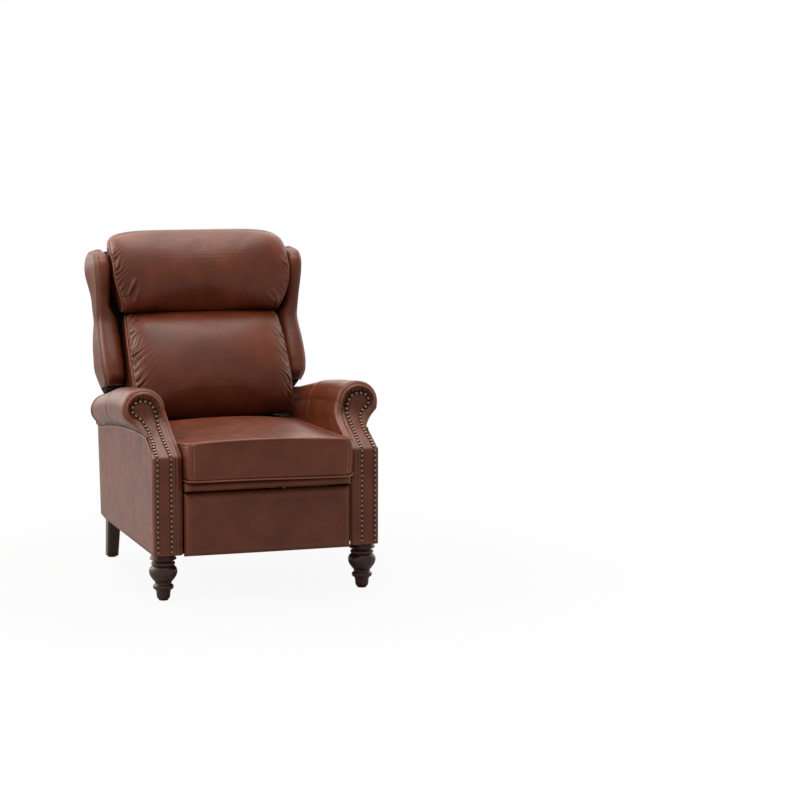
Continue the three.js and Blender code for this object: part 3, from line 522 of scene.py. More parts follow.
def cloth_material(name, dark, light, pitch, sheen):
    """A woven cloth: two crossed sets of threads."""
    made, tree, shader = new_material(name, Sheen_Weight=sheen, Specular_IOR_Level=0.25)
    threads = []
    for direction in ("X", "Z"):
        wave = node(tree, "ShaderNodeTexWave", {"Vector": object_place(tree), "Scale": 1 / pitch,
                                                "Distortion": 0.4, "Detail Scale": 3.0}, bands_direction=direction)
        threads.append(wave.outputs["Fac"])
    weave = node(tree, "ShaderNodeMath", {0: threads[0], 1: threads[1]}, operation="MULTIPLY").outputs[0]
    surface(tree, shader, ramp(tree, weave, ((0.1, dark), (0.8, light))), 0.9, ((weave, 0.5, 0.0005),))
    return made


LEATHER = leather_material("leather", "#5d2813", "#6c3119", "#7a3c21", 0.37)
# Paler leather for the welts and piping: a painted highlight along each raised cord
PIPING_HIGHLIGHT = leather_material("piping_highlight_leather", "#74402a", "#875039", "#9c664c", 0.34)
# Near-black leather for cords that paint the shadow line in a seam's groove
SEAM_SHADOW = leather_material("seam_shadow_leather", "#150905", "#1c0c07", "#25110a", 0.55)
ESPRESSO = patterned_material("espresso_wood", "#240f07", "#431e0f", 0.3, **WOOD, Coat_Weight=0.2)
FRAME_WOOD = patterned_material("frame_wood", "#b08b5a", "#d3b384", 0.6, **WOOD)
BLACK_STEEL = patterned_material("black_steel", "#151516", "#2a2a2c", 0.42, **METAL, Metallic=0.7)
SPRING_STEEL = patterned_material("spring_steel", "#55565a", "#8a8b90", 0.32, **METAL, Metallic=1.0)
PLASTIC = patterned_material("glide_plastic", "#0c0c0c", "#191919", 0.5, **MOULDED)
BRASS = nail_material("antique_brass", "#32180d", "#66442e", "#c4a184", 0.34)
WEBBING = cloth_material("webbing", "#6f675a", "#a79c88", 0.006, 0.2)
# Near-black cloth with almost no sheen: the chair's linings, kept this dark so that where they show between the
# pillows they paint shade
LINING_AND_SHADE = cloth_material("dark_lining", "#040403", "#0f0d0c", 0.0025, 0.02)

# The first row with a word that is in a node's name gives its finish; the others get leather
CAD_FINISHES = (
    (("leg",), ESPRESSO), (("glide",), PLASTIC), (("spring",), SPRING_STEEL), (("webbing",), WEBBING),
    (("link", "plate", "channel", "bracket", "tube"), BLACK_STEEL),
    (("rear_cross_rail", "seat_front_rail", "footrest_board"), LEATHER),
    (("rail", "post", "board", "upright"), FRAME_WOOD),
)


def finish_cad_nodes():
    for name, cad in frame["nodes"].items():
        finishes = [finish for words, finish in CAD_FINISHES if any(word in name for word in words)]
        for place in cad.material_slots:
            place.material = finishes[0] if finishes else LEATHER


# Arms: the front face

ARM_INNER = 262
ARM_OUTER = 347
ARM_BOTTOM = 140
FACE_TOP = 432
SCROLL = (336, 553)
SCROLL_RADIUS = 63
SCROLL_SETBACK = 168
COVER_SETBACK = 9
COVER_THICKNESS = 4
# The inner side is straight up to here, and bends out to the scroll about the second height
INNER_TOP = 490
INNER_BEND = 521
# From the scroll in to the outer side's narrow place
NECK = ((395, 531.5), (340, 486), (338, 474))

# The face from the side, as (distance back, height): upright, then leaning back to the scroll, which is upright again
LEAN_TOP = (112, 488)
FACE_SIDE = joined(
    [(0, ARM_BOTTOM), (0, FACE_TOP), LEAN_TOP],
    quadratic(LEAN_TOP, (SCROLL_SETBACK, 516), (SCROLL_SETBACK, SCROLL[1]))[1:],
    [(SCROLL_SETBACK, 640)])


def face_y(z):
    """How far back the front face lies at a height."""
    return np.interp(z, FACE_SIDE[:, 1], FACE_SIDE[:, 0])


# The outline (x, z) up the inner side, round the scroll and down the outer side, in four stretches. The nail line and
# the spine, the face's middle line, have stretches that match
OUTLINE_PARTS = (
    [(ARM_INNER, ARM_BOTTOM), (ARM_INNER, INNER_TOP)],
    joined(quadratic((ARM_INNER, INNER_TOP), (ARM_INNER, INNER_BEND), (SCROLL[0] - SCROLL_RADIUS, SCROLL[1])),
           circle_part(SCROLL, SCROLL_RADIUS, 180, 90)[1:]),
    joined(circle_part(SCROLL, SCROLL_RADIUS, 90, -20), quadratic(*NECK)[1:]),
    joined(quadratic(NECK[-1], (338, 446), (ARM_OUTER, FACE_TOP)), [(ARM_OUTER, ARM_BOTTOM)]),
)
NAIL_PARTS = (
    [(295, ARM_BOTTOM), (295, 425), (297, 460), (299, 500)],
    [(299, 500), (298, 527), (304, 553), (316, 574), (338, 582)],
    [(338, 582), (360, 577), (371, 560), (368, 545), (353, 532), (340, 517), (333, 495), (332, 478)],
    [(332, 478), (332, 460), (336, 425), (336, ARM_BOTTOM)],
)
SPINE_PARTS = (
    [(315.5, ARM_BOTTOM), (315.5, 425), (316, 490)],
    [(316, 490), (322, 522), (336, 553), (336.2, 553), (336.4, 553), (336.6, 553)],
    [(336.6, 553), (336.4, 553), (336.2, 553), (336, 553), (322, 522), (316, 485)],
    [(316, 485), (315.5, 425), (315.5, ARM_BOTTOM)],
)
PART_SAMPLES = (90, 90, 110, 90)
NAIL_PITCH = 15.3
NAIL_START = 150
EDGE_RADIUS = 6
EDGE_WELT_RADIUS = 2.1
FACE_DEPTH = 14
PLEATS = 24


def face_curves():
    """Outline, nail line and spine of the face, sampled side by side, with the share of each stretch."""
    curves = []
    for parts in (OUTLINE_PARTS, NAIL_PARTS, SPINE_PARTS):
        stretches = []
        for part, samples in zip(parts, PART_SAMPLES):
            bent = parts is not OUTLINE_PARTS and len(part) > 3
            if bent:
                part = through(np.linspace(0, 1, len(part)), part, np.linspace(0, 1, 40))
            if bent and parts is SPINE_PARTS:
                # The spine slows down at the scroll's middle, so its steps aren't made equal
                share = np.linspace(0, 1, samples, endpoint=False)
                steps = np.linspace(0, 1, len(part))
                stretches.append(np.stack([np.interp(share, steps, column) for column in part.T], axis=-1))
            else:
                stretches.append(resampled(part, samples + 1)[:-1])
        curves.append(joined(*stretches, [parts[-1][-1]]))
    share = np.concatenate([k + np.linspace(0, 1, samples, endpoint=False)
                            for k, samples in enumerate(PART_SAMPLES)] + [[4.0]])
    return *curves, share


OUTLINE, NAIL_LINE, SPINE, FACE_SHARE = face_curves()


def face_normal(z):
    """The y and z parts of the face's outward direction at a height."""
    reach = 3
    dy = face_y(z + reach) - face_y(z - reach)
    dz = 2 * reach
    length = np.hypot(dy, dz)
    return -dz / length, dy / length


def face_place(flat, raised, back):
    """Points of the face from (x, z), raised off its plane and moved back."""
    ny, nz = face_normal(flat[..., 1])
    y = face_y(flat[..., 1]) + ny * raised + back
    return np.stack([flat[..., 0], y, flat[..., 1] + nz * raised], axis=-1)


def across_face(place):
    """Between the outline (0), the nail line (1) and the spine (2)."""
    place = np.asarray(place, float)
    first = np.clip(place, 0, 1)[..., None]
    second = np.clip(place - 1, 0, 1)[..., None]
    return OUTLINE + (NAIL_LINE - OUTLINE) * first + (SPINE - NAIL_LINE) * second


def border_relief(flat, t, to_scroll):
    """Height of the border between the edge and the nails: a pleated ring at the scroll, a padded strip below."""
    angle = np.degrees(np.arctan2(OUTLINE[:, 1] - SCROLL[1], OUTLINE[:, 0] - SCROLL[0]))
    around = np.radians(angle) * PLEATS
    pleat = (0.5 + 0.5 * np.cos(around + 0.9 * np.sin(1.7 * around)))**4
    swell = math.sin(math.pi * t**0.75)**0.7
    lip = 6.0 * math.sin(math.pi * min(1, t / 0.42))**0.8 if t < 0.42 else 0.0
    ring = lip + 2.6 * swell - 3.6 * pleat * step(t, 0.16, 0.45) * math.sin(math.pi * t)**0.4
    ring = ring - 4.2 * hump(t, 0.86, 0.3)
    inner = 1 - step(FACE_SHARE, 0.95, 1.35)
    strip = 3.6 * math.sin(math.pi * t)**0.6 - 3.2 * hump(flat[:, 0], 281, 1.7)
    outer = step(FACE_SHARE, 2.7, 3.05)
    narrow = 1.3 * math.sin(math.pi * t)
    relief = ring * to_scroll + strip * inner + narrow * outer
    plain = 2.0 * math.sin(math.pi * t) * np.clip(1 - to_scroll - inner - outer, 0, 1)
    return relief + plain - 1.6 * hump(t, 1, 0.1)


def arm_face(side, sign):
    """The front panel: its hidden rear, its round edge, the border up to the nails, and the strip between them."""
    to_scroll = step(FACE_SHARE, 1.15, 1.45) * (1 - step(FACE_SHARE, 2.45, 2.72))
    start = EDGE_RADIUS / np.linalg.norm(NAIL_LINE - OUTLINE, axis=1)
    rows = [face_place(across_face(place), 0, FACE_DEPTH) for place in (2, 1.3, 1, 0.4, 0.1)]
    rows.append(face_place(OUTLINE, 0, FACE_DEPTH - 3))
    for turn in np.linspace(0, math.pi / 2, 6):
        rows.append(face_place(across_face(start * (1 - math.cos(turn))), 0, EDGE_RADIUS * (1 - math.sin(turn))))
    for t in np.linspace(0.08, 1, 12):
        flat = across_face(start + (1 - start) * t)
        rows.append(face_place(flat, border_relief(flat, t, to_scroll), 0))
    for t in (0.06, 0.14, 0.25, 0.4, 0.6, 0.8, 1.0):
        middle = 1.4 * (1 - (1 - t)**2) * (1 - to_scroll) - 2.2 * to_scroll * min(1, 3 * t)
        rows.append(face_place(across_face(1 + t), middle - 1.8 * hump(t, 0, 0.14), 0))
    points = np.array(rows) * (sign, 1, 1)
    starts = range(0, points.size // 3, points.shape[1])
    rear = [*starts, *(first + points.shape[1] - 1 for first in reversed(starts))]
    piece = make_object(f"{side}_arm_face", points, grid_faces(*points.shape[:2]) + [tuple(rear)], merge=0.15)
    finish_piece(piece, LEATHER, "base", nodes=[f"{side}_arm_front_panel"])


def edge_welt(side, sign):
    """Piping round the face's edge, where the arm's cover meets it."""
    flat = np.maximum(OUTLINE, (0, ARM_BOTTOM + 1))
    path = face_place(flat, 0, EDGE_RADIUS + 1.5) * (sign, 1, 1)
    trim(f"{side}_arm_edge_welt", [resampled(path, 420)], EDGE_WELT_RADIUS, PIPING_HIGHLIGHT, "base")


# One nail from its recessed rim to its crown: (distance out, height, brightness), where the dark rim is partly
# painted shadow and the bright crown partly a painted highlight
NAIL_PROFILE = ((7.3, -2.4, 0), (7.2, 0.0, 0), (6.6, 1.6, 0.2), (5.2, 3.1, 0.45), (3.2, 4.1, 0.85), (0, 4.6, 1))
NAIL_SIDES = 12


def nail_heads(side, sign):
    """Domed nails at an even pitch along the nail line, each set square to the face."""
    line = face_place(NAIL_LINE[NAIL_LINE[:, 1] > NAIL_START - 1], 0, 0)
    length = np.linalg.norm(np.diff(line, axis=0), axis=1).sum()
    turns = 2 * math.pi * np.arange(NAIL_SIDES) / NAIL_SIDES
    across = np.array([1.0, 0, 0])
    top = (len(NAIL_PROFILE) - 2) * NAIL_SIDES
    head_faces = [tuple(range(NAIL_SIDES))] + grid_faces(len(NAIL_PROFILE) - 1, NAIL_SIDES, wrap=True)
    head_faces += [(top + k, top + (k + 1) % NAIL_SIDES, top + NAIL_SIDES) for k in range(NAIL_SIDES)]
    points = []
    faces = []
    crown = []
    for centre in resampled(line, int(length / NAIL_PITCH) + 1)[:, (0, 2)]:
        ny, nz = (float(v) for v in face_normal(centre[1]))
        outward = np.array([0, ny, nz])
        up = np.array([0, nz, -ny])
        base = face_place(centre, -0.6, 0)
        faces += [tuple(len(points) + i for i in face) for face in head_faces]
        for out, rise, bright in NAIL_PROFILE:
            for turn in turns if out else turns[:1]:
                points.append(base + out * (across * math.cos(turn) + up * math.sin(turn)) + outward * rise)
                crown.append(bright)
    piece = make_object(f"{side}_arm_nails", np.array(points) * (sign, 1, 1), faces)
    # The crown attribute paints shadow at each nail's rim and a highlight on its crown
    piece.data.attributes.new("crown", "FLOAT", "POINT").data.foreach_set("value", crown)
    finish_piece(piece, BRASS, "base")


# Arms: the cover over the roll and down the inner side

ROLL_REAR_X = 319
ROLL_REAR_RADIUS = 49
ROLL_REAR = 765
SEAM_REAR = 795
PANEL_FOOT_REAR = 764
ROLL_TOP = ((168, 616), (320, 606), (464, 588), (641, 555), (765, 532))
SIDE_SEAM = ((90, 484), (226, 484), (593, 457), (798, 428))
RING_SEAM = 464
COVER_FOOT = 152
# The far end of the section tucks in this far outside the side panel's face
ROLL_TUCK = 2.5
ROLL_END_SAMPLES = 72
ROLL_END_WELT_RADIUS = 2.2
# The padded disc behind the roll, from its rim in: (share of the way in, distance back)
ROLL_END_STEPS = ((0.0, -14), (0.0, -3), (0.02, 1), (0.06, 3.5), (0.12, 4.5), (0.4, 5.5), (0.7, 6), (1.0, 6))


def roll_seam(y):
    return through(*zip(*SIDE_SEAM), y)


def rear_edge(z):
    """The arm's rear edge: it leans back up to the roll's seam, and forward again over the roll."""
    return np.interp(z, (147, 428, 532), (PANEL_FOOT_REAR, SEAM_REAR, ROLL_REAR))


SECTION_SAMPLES = (26, 12, 52, 14)


def cover_section(x, z, radius, top, bend, last):
    """The cover's section: up the inner side, round the scroll or the roll, and in below it."""
    inner, rise, round_part, under = SECTION_SAMPLES
    return joined(resampled([(ARM_INNER, COVER_FOOT), (ARM_INNER, top)], inner + 1)[:-1],
                  resampled(quadratic((ARM_INNER, top), (ARM_INNER, bend), (x - radius, z)), rise + 1)[:-1],
                  circle_part((x, z), radius, 180, -20, round_part + 1)[:-1],
                  resampled(last, under))


def face_section():
    """The section at the face, where it draws in to the neck."""
    return cover_section(*SCROLL, SCROLL_RADIUS, INNER_TOP, INNER_BEND, quadratic(*NECK))


def roll_section(y):
    """The section further back, where the roll is a full round that rests on the side seam."""
    along = np.clip((y - SCROLL_SETBACK) / (ROLL_REAR - SCROLL_SETBACK), 0, 1)
    radius = SCROLL_RADIUS + (ROLL_REAR_RADIUS - SCROLL_RADIUS) * along**1.5
    x = SCROLL[0] + (ROLL_REAR_X - SCROLL[0]) * along**1.5
    z = through(*zip(*ROLL_TOP), max(y, SCROLL_SETBACK)) - radius
    last = -math.degrees(math.acos((ARM_OUTER + ROLL_TUCK - x) / radius))
    under = joined(circle_part((x, z), radius, -20, last, 10), [(ARM_OUTER + 0.5, roll_seam(y))])
    return cover_section(x, z, radius, z - radius, z - radius / 2, under)


def arm_cover_points():
    """Rows of the cover from the face to the rear, closer together at the ring seam."""
    front = face_section()
    front_y = face_y(front[:, 1]) + COVER_SETBACK
    rear_y = rear_edge(front[:, 1])
    near_ring = 0.5 + np.linspace(-12, 12, 17) / 600
    share = np.unique(np.concatenate([np.linspace(0, 0.46, 26), np.linspace(0.54, 1, 24), near_ring]))[:, None]
    depth = np.where(share < 0.5, front_y + (RING_SEAM - front_y) * share / 0.5,
                     RING_SEAM + (rear_y - RING_SEAM) * (share - 0.5) / 0.5)
    levels = np.linspace(SCROLL_SETBACK - 80, SEAM_REAR + 5, 90)
    table = np.array([roll_section(level) for level in levels])
    turn = step(depth - front_y, 0, 70)
    grid = np.stack([depth] * 3, axis=-1)
    for k in range(len(front)):
        for axis, column in ((0, 0), (2, 1)):
            back = np.interp(depth[:, k], levels, table[:, k, column])
            grid[:, k, axis] = front[k, column] + (back - front[k, column]) * turn[:, k]
    return grid


def arm_cover(side, sign):
    grid = arm_cover_points()
    normals = grid_normals(grid)
    normals = normals * np.sign(normals[20, 60, 2])
    x, y, z = (grid[..., axis] for axis in range(3))
    over = np.linspace(0, 1, grid.shape[1])[None, :]
    ring = RING_SEAM + 10 * (over - 0.5) + 1.5 * ripple(over * 9, 3)
    relief = -4.2 * hump(y, ring, 2.4) + 1.2 * hump(y, ring - 8, 6) + 1.2 * hump(y, ring + 8, 6)
    # Soft wrinkles run in to the side seam, and down the inner side behind the scroll
    near_seam = np.exp(-np.clip(z - roll_seam(y), 0, None) / 26) * step(x, 330, 350)
    relief = relief + 1.6 * near_seam * ripple(y * 0.11, 5)
    inner = step(280 - x, -8, 10) * step(z, 430, 520) * np.exp(-np.clip(y - 190, 0, None) / 60)
    relief = relief + 1.4 * inner * ripple(y * 0.13 + z * 0.05, 8)
    relief = relief + 0.4 * ripple(y * 0.021, 2) * ripple(z * 0.03 + x * 0.02, 4)
    # The cover sinks a little where it meets the face
    front_gap = y - (face_y(z) + COVER_SETBACK)
    relief = relief - 1.5 * np.exp(-np.clip(front_gap, 0, None) / 5) + 1.6 * hump(front_gap, 16, 9)
    grid = np.maximum(grid + normals * relief[..., None], (ARM_INNER - 0.5, 0, 0)) * (sign, 1, 1)
    piece = make_object(f"{side}_arm_cover", grid, grid_faces(*grid.shape[:2]))
    thicken(piece, COVER_THICKNESS)
    finish_piece(piece, LEATHER, "base", nodes=[f"{side}_arm_roll", f"{side}_arm_inner_panel"])


def roll_end(side, sign):
    """The padded disc that closes the roll behind, and its welt."""
    keep = roll_section(ROLL_REAR)[SECTION_SAMPLES[0] - 2:]
    outline = resampled(joined(keep, [(ARM_INNER, keep[0][1])]), ROLL_END_SAMPLES, closed=True)
    centre = outline.mean(axis=0)
    rows = []
    for inset, back in ROLL_END_STEPS:
        flat = outline + (centre - outline) * inset
        rows.append(np.stack([flat[:, 0] * sign, rear_edge(flat[:, 1]) + back, flat[:, 1]], axis=-1))
    rows.insert(0, np.repeat(rows[0].mean(axis=0)[None], ROLL_END_SAMPLES, axis=0))
    faces = grid_faces(len(rows), ROLL_END_SAMPLES, wrap=True)
    piece = make_object(f"{side}_arm_roll_end", rows, faces, merge=0.05)
    finish_piece(piece, LEATHER, "base")
    path = np.stack([outline[:, 0] * sign, rear_edge(outline[:, 1]) + 0.5, outline[:, 1]], axis=-1)
    trim(f"{side}_arm_roll_end_welt", [path], ROLL_END_WELT_RADIUS, PIPING_HIGHLIGHT, "base", closed=True)


# Arms: the outer side, which turns the rear corner

REAR_CORNER = 14
SIDE_THICKNESS = 5
SIDE_SEAM_RADIUS = 1.7
# The panel's foot rises by this much towards the rear
FOOT_RISE = 7


def side_height(y, share):
    """Height on the outer side, by the share of the way from its foot to the seam."""
    foot = ARM_BOTTOM + FOOT_RISE * float(step(y, 660, 780))
    return foot + share * (float(roll_seam(max(y, 95))) - foot)


def side_panel(side, sign):
    """The outer side panel. Its length runs 0 to 1 along the side, to 2 round the corner and to 3 behind."""
    shares = np.linspace(0, 1, 46)
    lengths = np.concatenate([np.linspace(0, 1, 90), 1 + np.linspace(0, 1, 9)[1:], 2 + np.linspace(0, 1, 12)[1:]])
    corner = ARM_OUTER - REAR_CORNER
    grid = np.zeros((len(shares), len(lengths), 3))
    for r, share in enumerate(shares):
        for c, length in enumerate(lengths):
            along = min(length, 1)
            z = side_height(along * (SEAM_REAR - REAR_CORNER), share)
            start = float(face_y(min(z, 476))) + COVER_SETBACK - 0.5
            y = start + (float(rear_edge(z)) - REAR_CORNER - start) * along
            turn = (np.clip(length, 1, 2) - 1) * math.pi / 2
            inward = max(length - 2, 0) * (corner - ARM_INNER - 2)
            grid[r, c] = (corner + REAR_CORNER * math.cos(turn) - inward, y + REAR_CORNER * math.sin(turn),
                          side_height(y, share))
    normals = grid_normals(grid)
    normals = normals * np.sign(normals[len(shares) // 2, 40, 0])
    y = grid[..., 1]
    tall = shares[:, None]
    on_side = (lengths <= 1) * step(1 - np.minimum(lengths, 1), 0.0, 0.06)
    belly = 2.2 * np.sin(math.pi * tall)**0.7
    hang = np.exp(-(1 - tall) * 8) * step(1 - tall, 0.0, 0.05)
    creases = 1.2 * hang * ripple(y * 0.05 + 0.6 * ripple(y * 0.02, 1), 6)
    loose = 0.25 * ripple(y * 0.014, 9) * np.sin(math.pi * tall)
    relief = (belly + creases + loose) * on_side - 1.2 * np.exp(-(1 - tall) * 60)
    grid = (grid + normals * relief[..., None]) * (sign, 1, 1)
    piece = make_object(f"{side}_arm_side", grid, grid_faces(*grid.shape[:2]))
    thicken(piece, SIDE_THICKNESS)
    finish_piece(piece, LEATHER, "base", nodes=[f"{side}_arm_outer_panel"])
    # A near-black cord along the side seam paints the shadow line under the roll
    seam = [(sign * (ARM_OUTER + 0.8), y, float(roll_seam(y)) - 0.5) for y in np.linspace(118, 778, 160)]
    trim(f"{side}_arm_side_seam_shadow", [seam], SIDE_SEAM_RADIUS, SEAM_SHADOW, "base")


# Legs

# The turned leg from its foot to its top: (share of the height, share of the largest radius)
TURNING = (
    (0, 0.4), (0.02, 0.44), (0.13, 0.5), (0.2, 0.57), (0.225, 0.68), (0.27, 0.735), (0.31, 0.69), (0.33, 0.6),
    (0.37, 0.6), (0.44, 0.77), (0.53, 0.95), (0.61, 1), (0.69, 0.94), (0.735, 0.8), (0.75, 0.715), (0.76, 0.8),
    (0.79, 0.835), (0.82, 0.8), (0.83, 0.715), (0.86, 0.715), (0.87, 0.84), (0.93, 0.895), (0.96, 0.86), (1, 0.82),
)
LEG_RADIUS = 42


def front_leg(side, sign):
    low, high = (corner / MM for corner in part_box(f"{side}_front_leg"))
    middle = (low + high) / 2
    shares, radii = np.array(TURNING).T
    fine = np.unique(np.concatenate([np.linspace(0, 1, 90), shares]))
    angles = np.linspace(0, 2 * math.pi, 56, endpoint=False)
    rings = []
    for share, radius in zip(fine, through(shares, radii, fine) * LEG_RADIUS):
        x = middle.x + radius * np.cos(angles)
        y = middle.y - FRONT_Y + radius * np.sin(angles)
        rings.append(np.column_stack([x, y, np.full(len(angles), low.z + share * (high.z - low.z))]))
    finish_piece(closed_loft(f"{side}_turned_leg", rings), ESPRESSO, "base", [f"{side}_front_leg"])


# Stuffed forms across the back

PILLOW_REAR = 5.4
# Side outlines: [distance in front of the rear face, height above the pivot], round the middle and round the ends
BACK_MIDDLE = (
    (0, 52), (0, 128), (0, 215), (0, 302), (0, 372), (26, 391), (86, 389), (138, 362), (180, 300), (206, 224),
    (214, 150), (206, 84), (170, 44), (108, 40), (43, 46),
)
BACK_END = (
    (0, 42), (0, 128), (0, 215), (0, 300), (0, 368), (16, 385), (38, 380), (64, 347), (92, 290), (124, 220),
    (154, 150), (162, 90), (148, 42), (104, 32), (42, 36),
)
# Half of the width between the welts at a height
BACK_WIDTH = ((32, 257), (136, 258), (160, 259), (260, 259), (330, 256), (390, 251))
HEAD_MIDDLE = (
    (0, 390), (0, 468), (0, 548), (0, 612), (0, 644), (-30, 650), (-44, 652), (-36, 660), (0, 663), (44, 659),
    (92, 641), (124, 596), (136, 530), (133, 458), (112, 404), (64, 386), (28, 386),
)
HEAD_END = (
    (0, 408), (0, 470), (0, 530), (0, 580), (0, 618), (-16, 630), (-34, 636), (-30, 645), (0, 640), (28, 624),
    (58, 594), (84, 554), (100, 510), (98, 460), (84, 420), (54, 399), (22, 399),
)
HEAD_WIDTH = (
    (386, 257), (408, 262), (445, 276), (490, 287), (550, 290), (605, 291), (624, 288), (642, 275), (664, 258),
)


def outline_pair(middle, end, count):
    """Both outlines in equal steps, starting at matching points."""
    inner = smooth_ring([(PILLOW_REAR - forward, up) for forward, up in middle], count)
    outer = smooth_ring([(PILLOW_REAR - forward, up) for forward, up in end], count)
    shift = min(range(count), key=lambda k: np.linalg.norm(np.roll(outer, -k, axis=0) - inner, axis=1).sum())
    return inner, np.roll(outer, -shift, axis=0)


def stuffed_rings(middle, end, widths, power, overhang):
    """Sections across the back that swell to `middle` and draw in to `end`, with a padded gusset past each end."""
    inner, outer = outline_pair(middle, end, PILLOW_SAMPLES)
    centre = inner.mean(axis=0)
    free = step(PILLOW_REAR - inner[:, 0], 20, 60)[:, None]
    to_centre = centre - inner
    to_centre /= np.linalg.norm(to_centre, axis=1, keepdims=True)
    inner = inner + to_centre * PILLOW_SLACK * free
    width = through(*zip(*widths), outer[:, 1])
    rings = []
    for i in range(-PILLOW_STATIONS, PILLOW_STATIONS + 1):
        across = math.sin(i / PILLOW_STATIONS * math.pi / 2)
        swell = (1 - abs(across)**power)**0.5
        section = outer + (inner - outer) * swell
        rings.append(np.column_stack([across * width, section]))
    centre = outer.mean(axis=0)
    gusset = []
    for t in (0.06, 0.15, 0.3, 0.55, 0.8):
        section = outer + (centre - outer) * t
        out = overhang * math.sin(math.pi / 2 * min(1, t * 2.2))
        gusset.append((section, width + (width.mean() - width) * t + out))
    first = [np.column_stack([-reach, section]) for section, reach in reversed(gusset)]
    last = [np.column_stack([reach, section]) for section, reach in gusset]
    return np.array(first + rings + last)


def welt_paths(middle, end, widths, low, high):
    """The seam lines at both ends: the part of the end outline in front of the back's frame."""
    count = 200
    _, outer = outline_pair(middle, end, count)
    start = int(np.argmin(outer[:, 1] + 0.5 * np.abs(outer[:, 0] - PILLOW_REAR)))
    ring = np.roll(outer, -start, axis=0)
    if ring[count // 4, 0] > ring[-count // 4, 0]:
        ring = ring[::-1]
    ring = ring[int(low * count):int(high * count)]
    width = through(*zip(*widths), ring[:, 1])
    ring = ring - (1.5, 0)
    return [resampled(np.column_stack([sign * (width + 0.8), ring]), 180) for sign in (-1, 1)]


def gathers(x, y, z, width, seed, strength, reach, slant, pitch):
    """Short uneven ridges that run in from the side seams, and fade out."""
    inward = width - np.abs(x)
    side_seed = seed + 1.9 * np.sign(x)
    own_reach = reach * (0.75 + 0.45 * ripple(z * 0.09, side_seed + 7))
    fade = np.exp(-np.clip(inward, 0, None) / own_reach) * step(inward, 1, 7) * step(PILLOW_REAR - 14 - y, 0, 30)
    along = z - slant * inward + 9 * ripple(z * 0.03, side_seed)
    folds = np.abs(np.sin(along * math.pi / pitch + 1.6 * ripple(along * 0.05, side_seed + 4)))
    fine = np.abs(np.sin(along * math.pi / (0.45 * pitch) + 2.0 * ripple(along * 0.06, side_seed + 1)))
    coarse = 0.55 + 0.5 * ripple(along * 0.045, side_seed + 2)
    return strength * fade * (0.7 * folds**0.8 + 0.3 * fine - 0.62) * coarse


def crease(x, z, start, end, width):
    """A ridge along a line, faded out at its ends."""
    run_x, run_z = end[0] - start[0], end[1] - start[1]
    length = math.hypot(run_x, run_z)
    along = ((x - start[0]) * run_x + (z - start[1]) * run_z) / length**2
    off = ((x - start[0]) * run_z - (z - start[1]) * run_x) / length
    return hump(off, 0, width) * step(along, -0.15, 0.25) * (1 - step(along, 0.7, 1.15))


def near_path(points, paths):
    """Distance of each point from the nearest point of some paths."""
    least = np.full(len(points), 1e9)
    for path in paths:
        for start in range(0, len(points), 20000):
            part = points[start:start + 20000]
            gap = np.linalg.norm(part[:, None] - path[None, ::2], axis=2).min(axis=1)
            least[start:start + 20000] = np.minimum(least[start:start + 20000], gap)
    return least


PILLOW_SAMPLES = 216
PILLOW_STATIONS = 52
PILLOW_VOXEL = 5
PILLOW_SLACK = 9
PILLOW_CAP = 24
SEAM_HOLD = 7
PILLOW_WELT_RADIUS = 2.3


def pillow(name, node_name, middle, end, widths, relief, power, welt_range, overhang):
    """A stuffed pillow with its welts. `relief` takes (x, y, z) about the back's pivot."""
    rings = stuffed_rings(middle, end, widths, power, overhang)
    piece = closed_loft(name, leaned(rings))
    paths = [leaned(path) for path in welt_paths(middle, end, widths, *welt_range)]

    def holds(points):
        place = upright(points)
        seam = 1 - step(near_path(points, paths), SEAM_HOLD, 2 * SEAM_HOLD)
        rear = step(place[:, 1], PILLOW_REAR - 14, PILLOW_REAR - 6)
        gusset = step(np.abs(place[:, 0]) - through(*zip(*widths), place[:, 2]), -1, 2)
        return np.maximum(np.maximum(seam, rear), gusset)

    def height(points):
        groove = -2.4 * hump(near_path(points, paths), 0, 3.2)
        return relief(*upright(points).T) + groove

    stuffed_cover(piece, PILLOW_VOXEL, holds, PILLOW_CAP, height)
    finish_piece(piece, LEATHER, "back", nodes=[node_name])
    trim(f"{name}_welts", paths, PILLOW_WELT_RADIUS, PIPING_HIGHLIGHT, "back")


def back_pillow():
    def relief(x, y, z):
        width = through(*zip(*BACK_WIDTH), z)
        side = np.where(x < 0, 1.0, 0.75)
        folds = side * gathers(x, y, z, width, 2.0, 31.0, 21, 1.05, 25)
        return folds + 1.0 * ripple(z * 0.012 + x * 0.004, 3) * step(-y, 60, 140)

    pillow("back_cushion", "back_pillow", BACK_MIDDLE, BACK_END, BACK_WIDTH, relief, 5.0, (0.06, 0.56), 3)


# Long folds of the head pillow: where each starts and ends (x, z), how wide it is and how high it stands
HEAD_FOLDS = (
    ((-253, 440), (-229, 490), 4.5, 6.5),
    ((-243, 440), (-222, 480), 7.0, -2.0),
    ((-232, 416), (-218, 460), 6.0, 3.5),
    ((-269, 436), (-250, 436), 2.2, -4.0),
    ((250, 418), (222, 452), 7.0, 3.2),
    ((236, 412), (206, 436), 7.0, 2.4),
)


def head_pillow():
    def relief(x, y, z):
        width = through(*zip(*HEAD_WIDTH), z)
        upper = np.where(x < 0, step(z, 420, 470), 0.4) * (1 - step(z, 560, 610))
        folds = upper * gathers(x, y, z, width, 5.0, 46.0, 14, 1.1, 21)
        for start, end, broad, height in HEAD_FOLDS:
            folds = folds + height * crease(x, z, start, end, broad) * step(-y, 60, 90)
        return folds

    pillow("head_cushion", "head_pillow", HEAD_MIDDLE, HEAD_END, HEAD_WIDTH, relief, 6.0, (0.04, 0.58), 4)


CLOTH_ROWS = 14
CLOTH_THICKNESS = 0.8


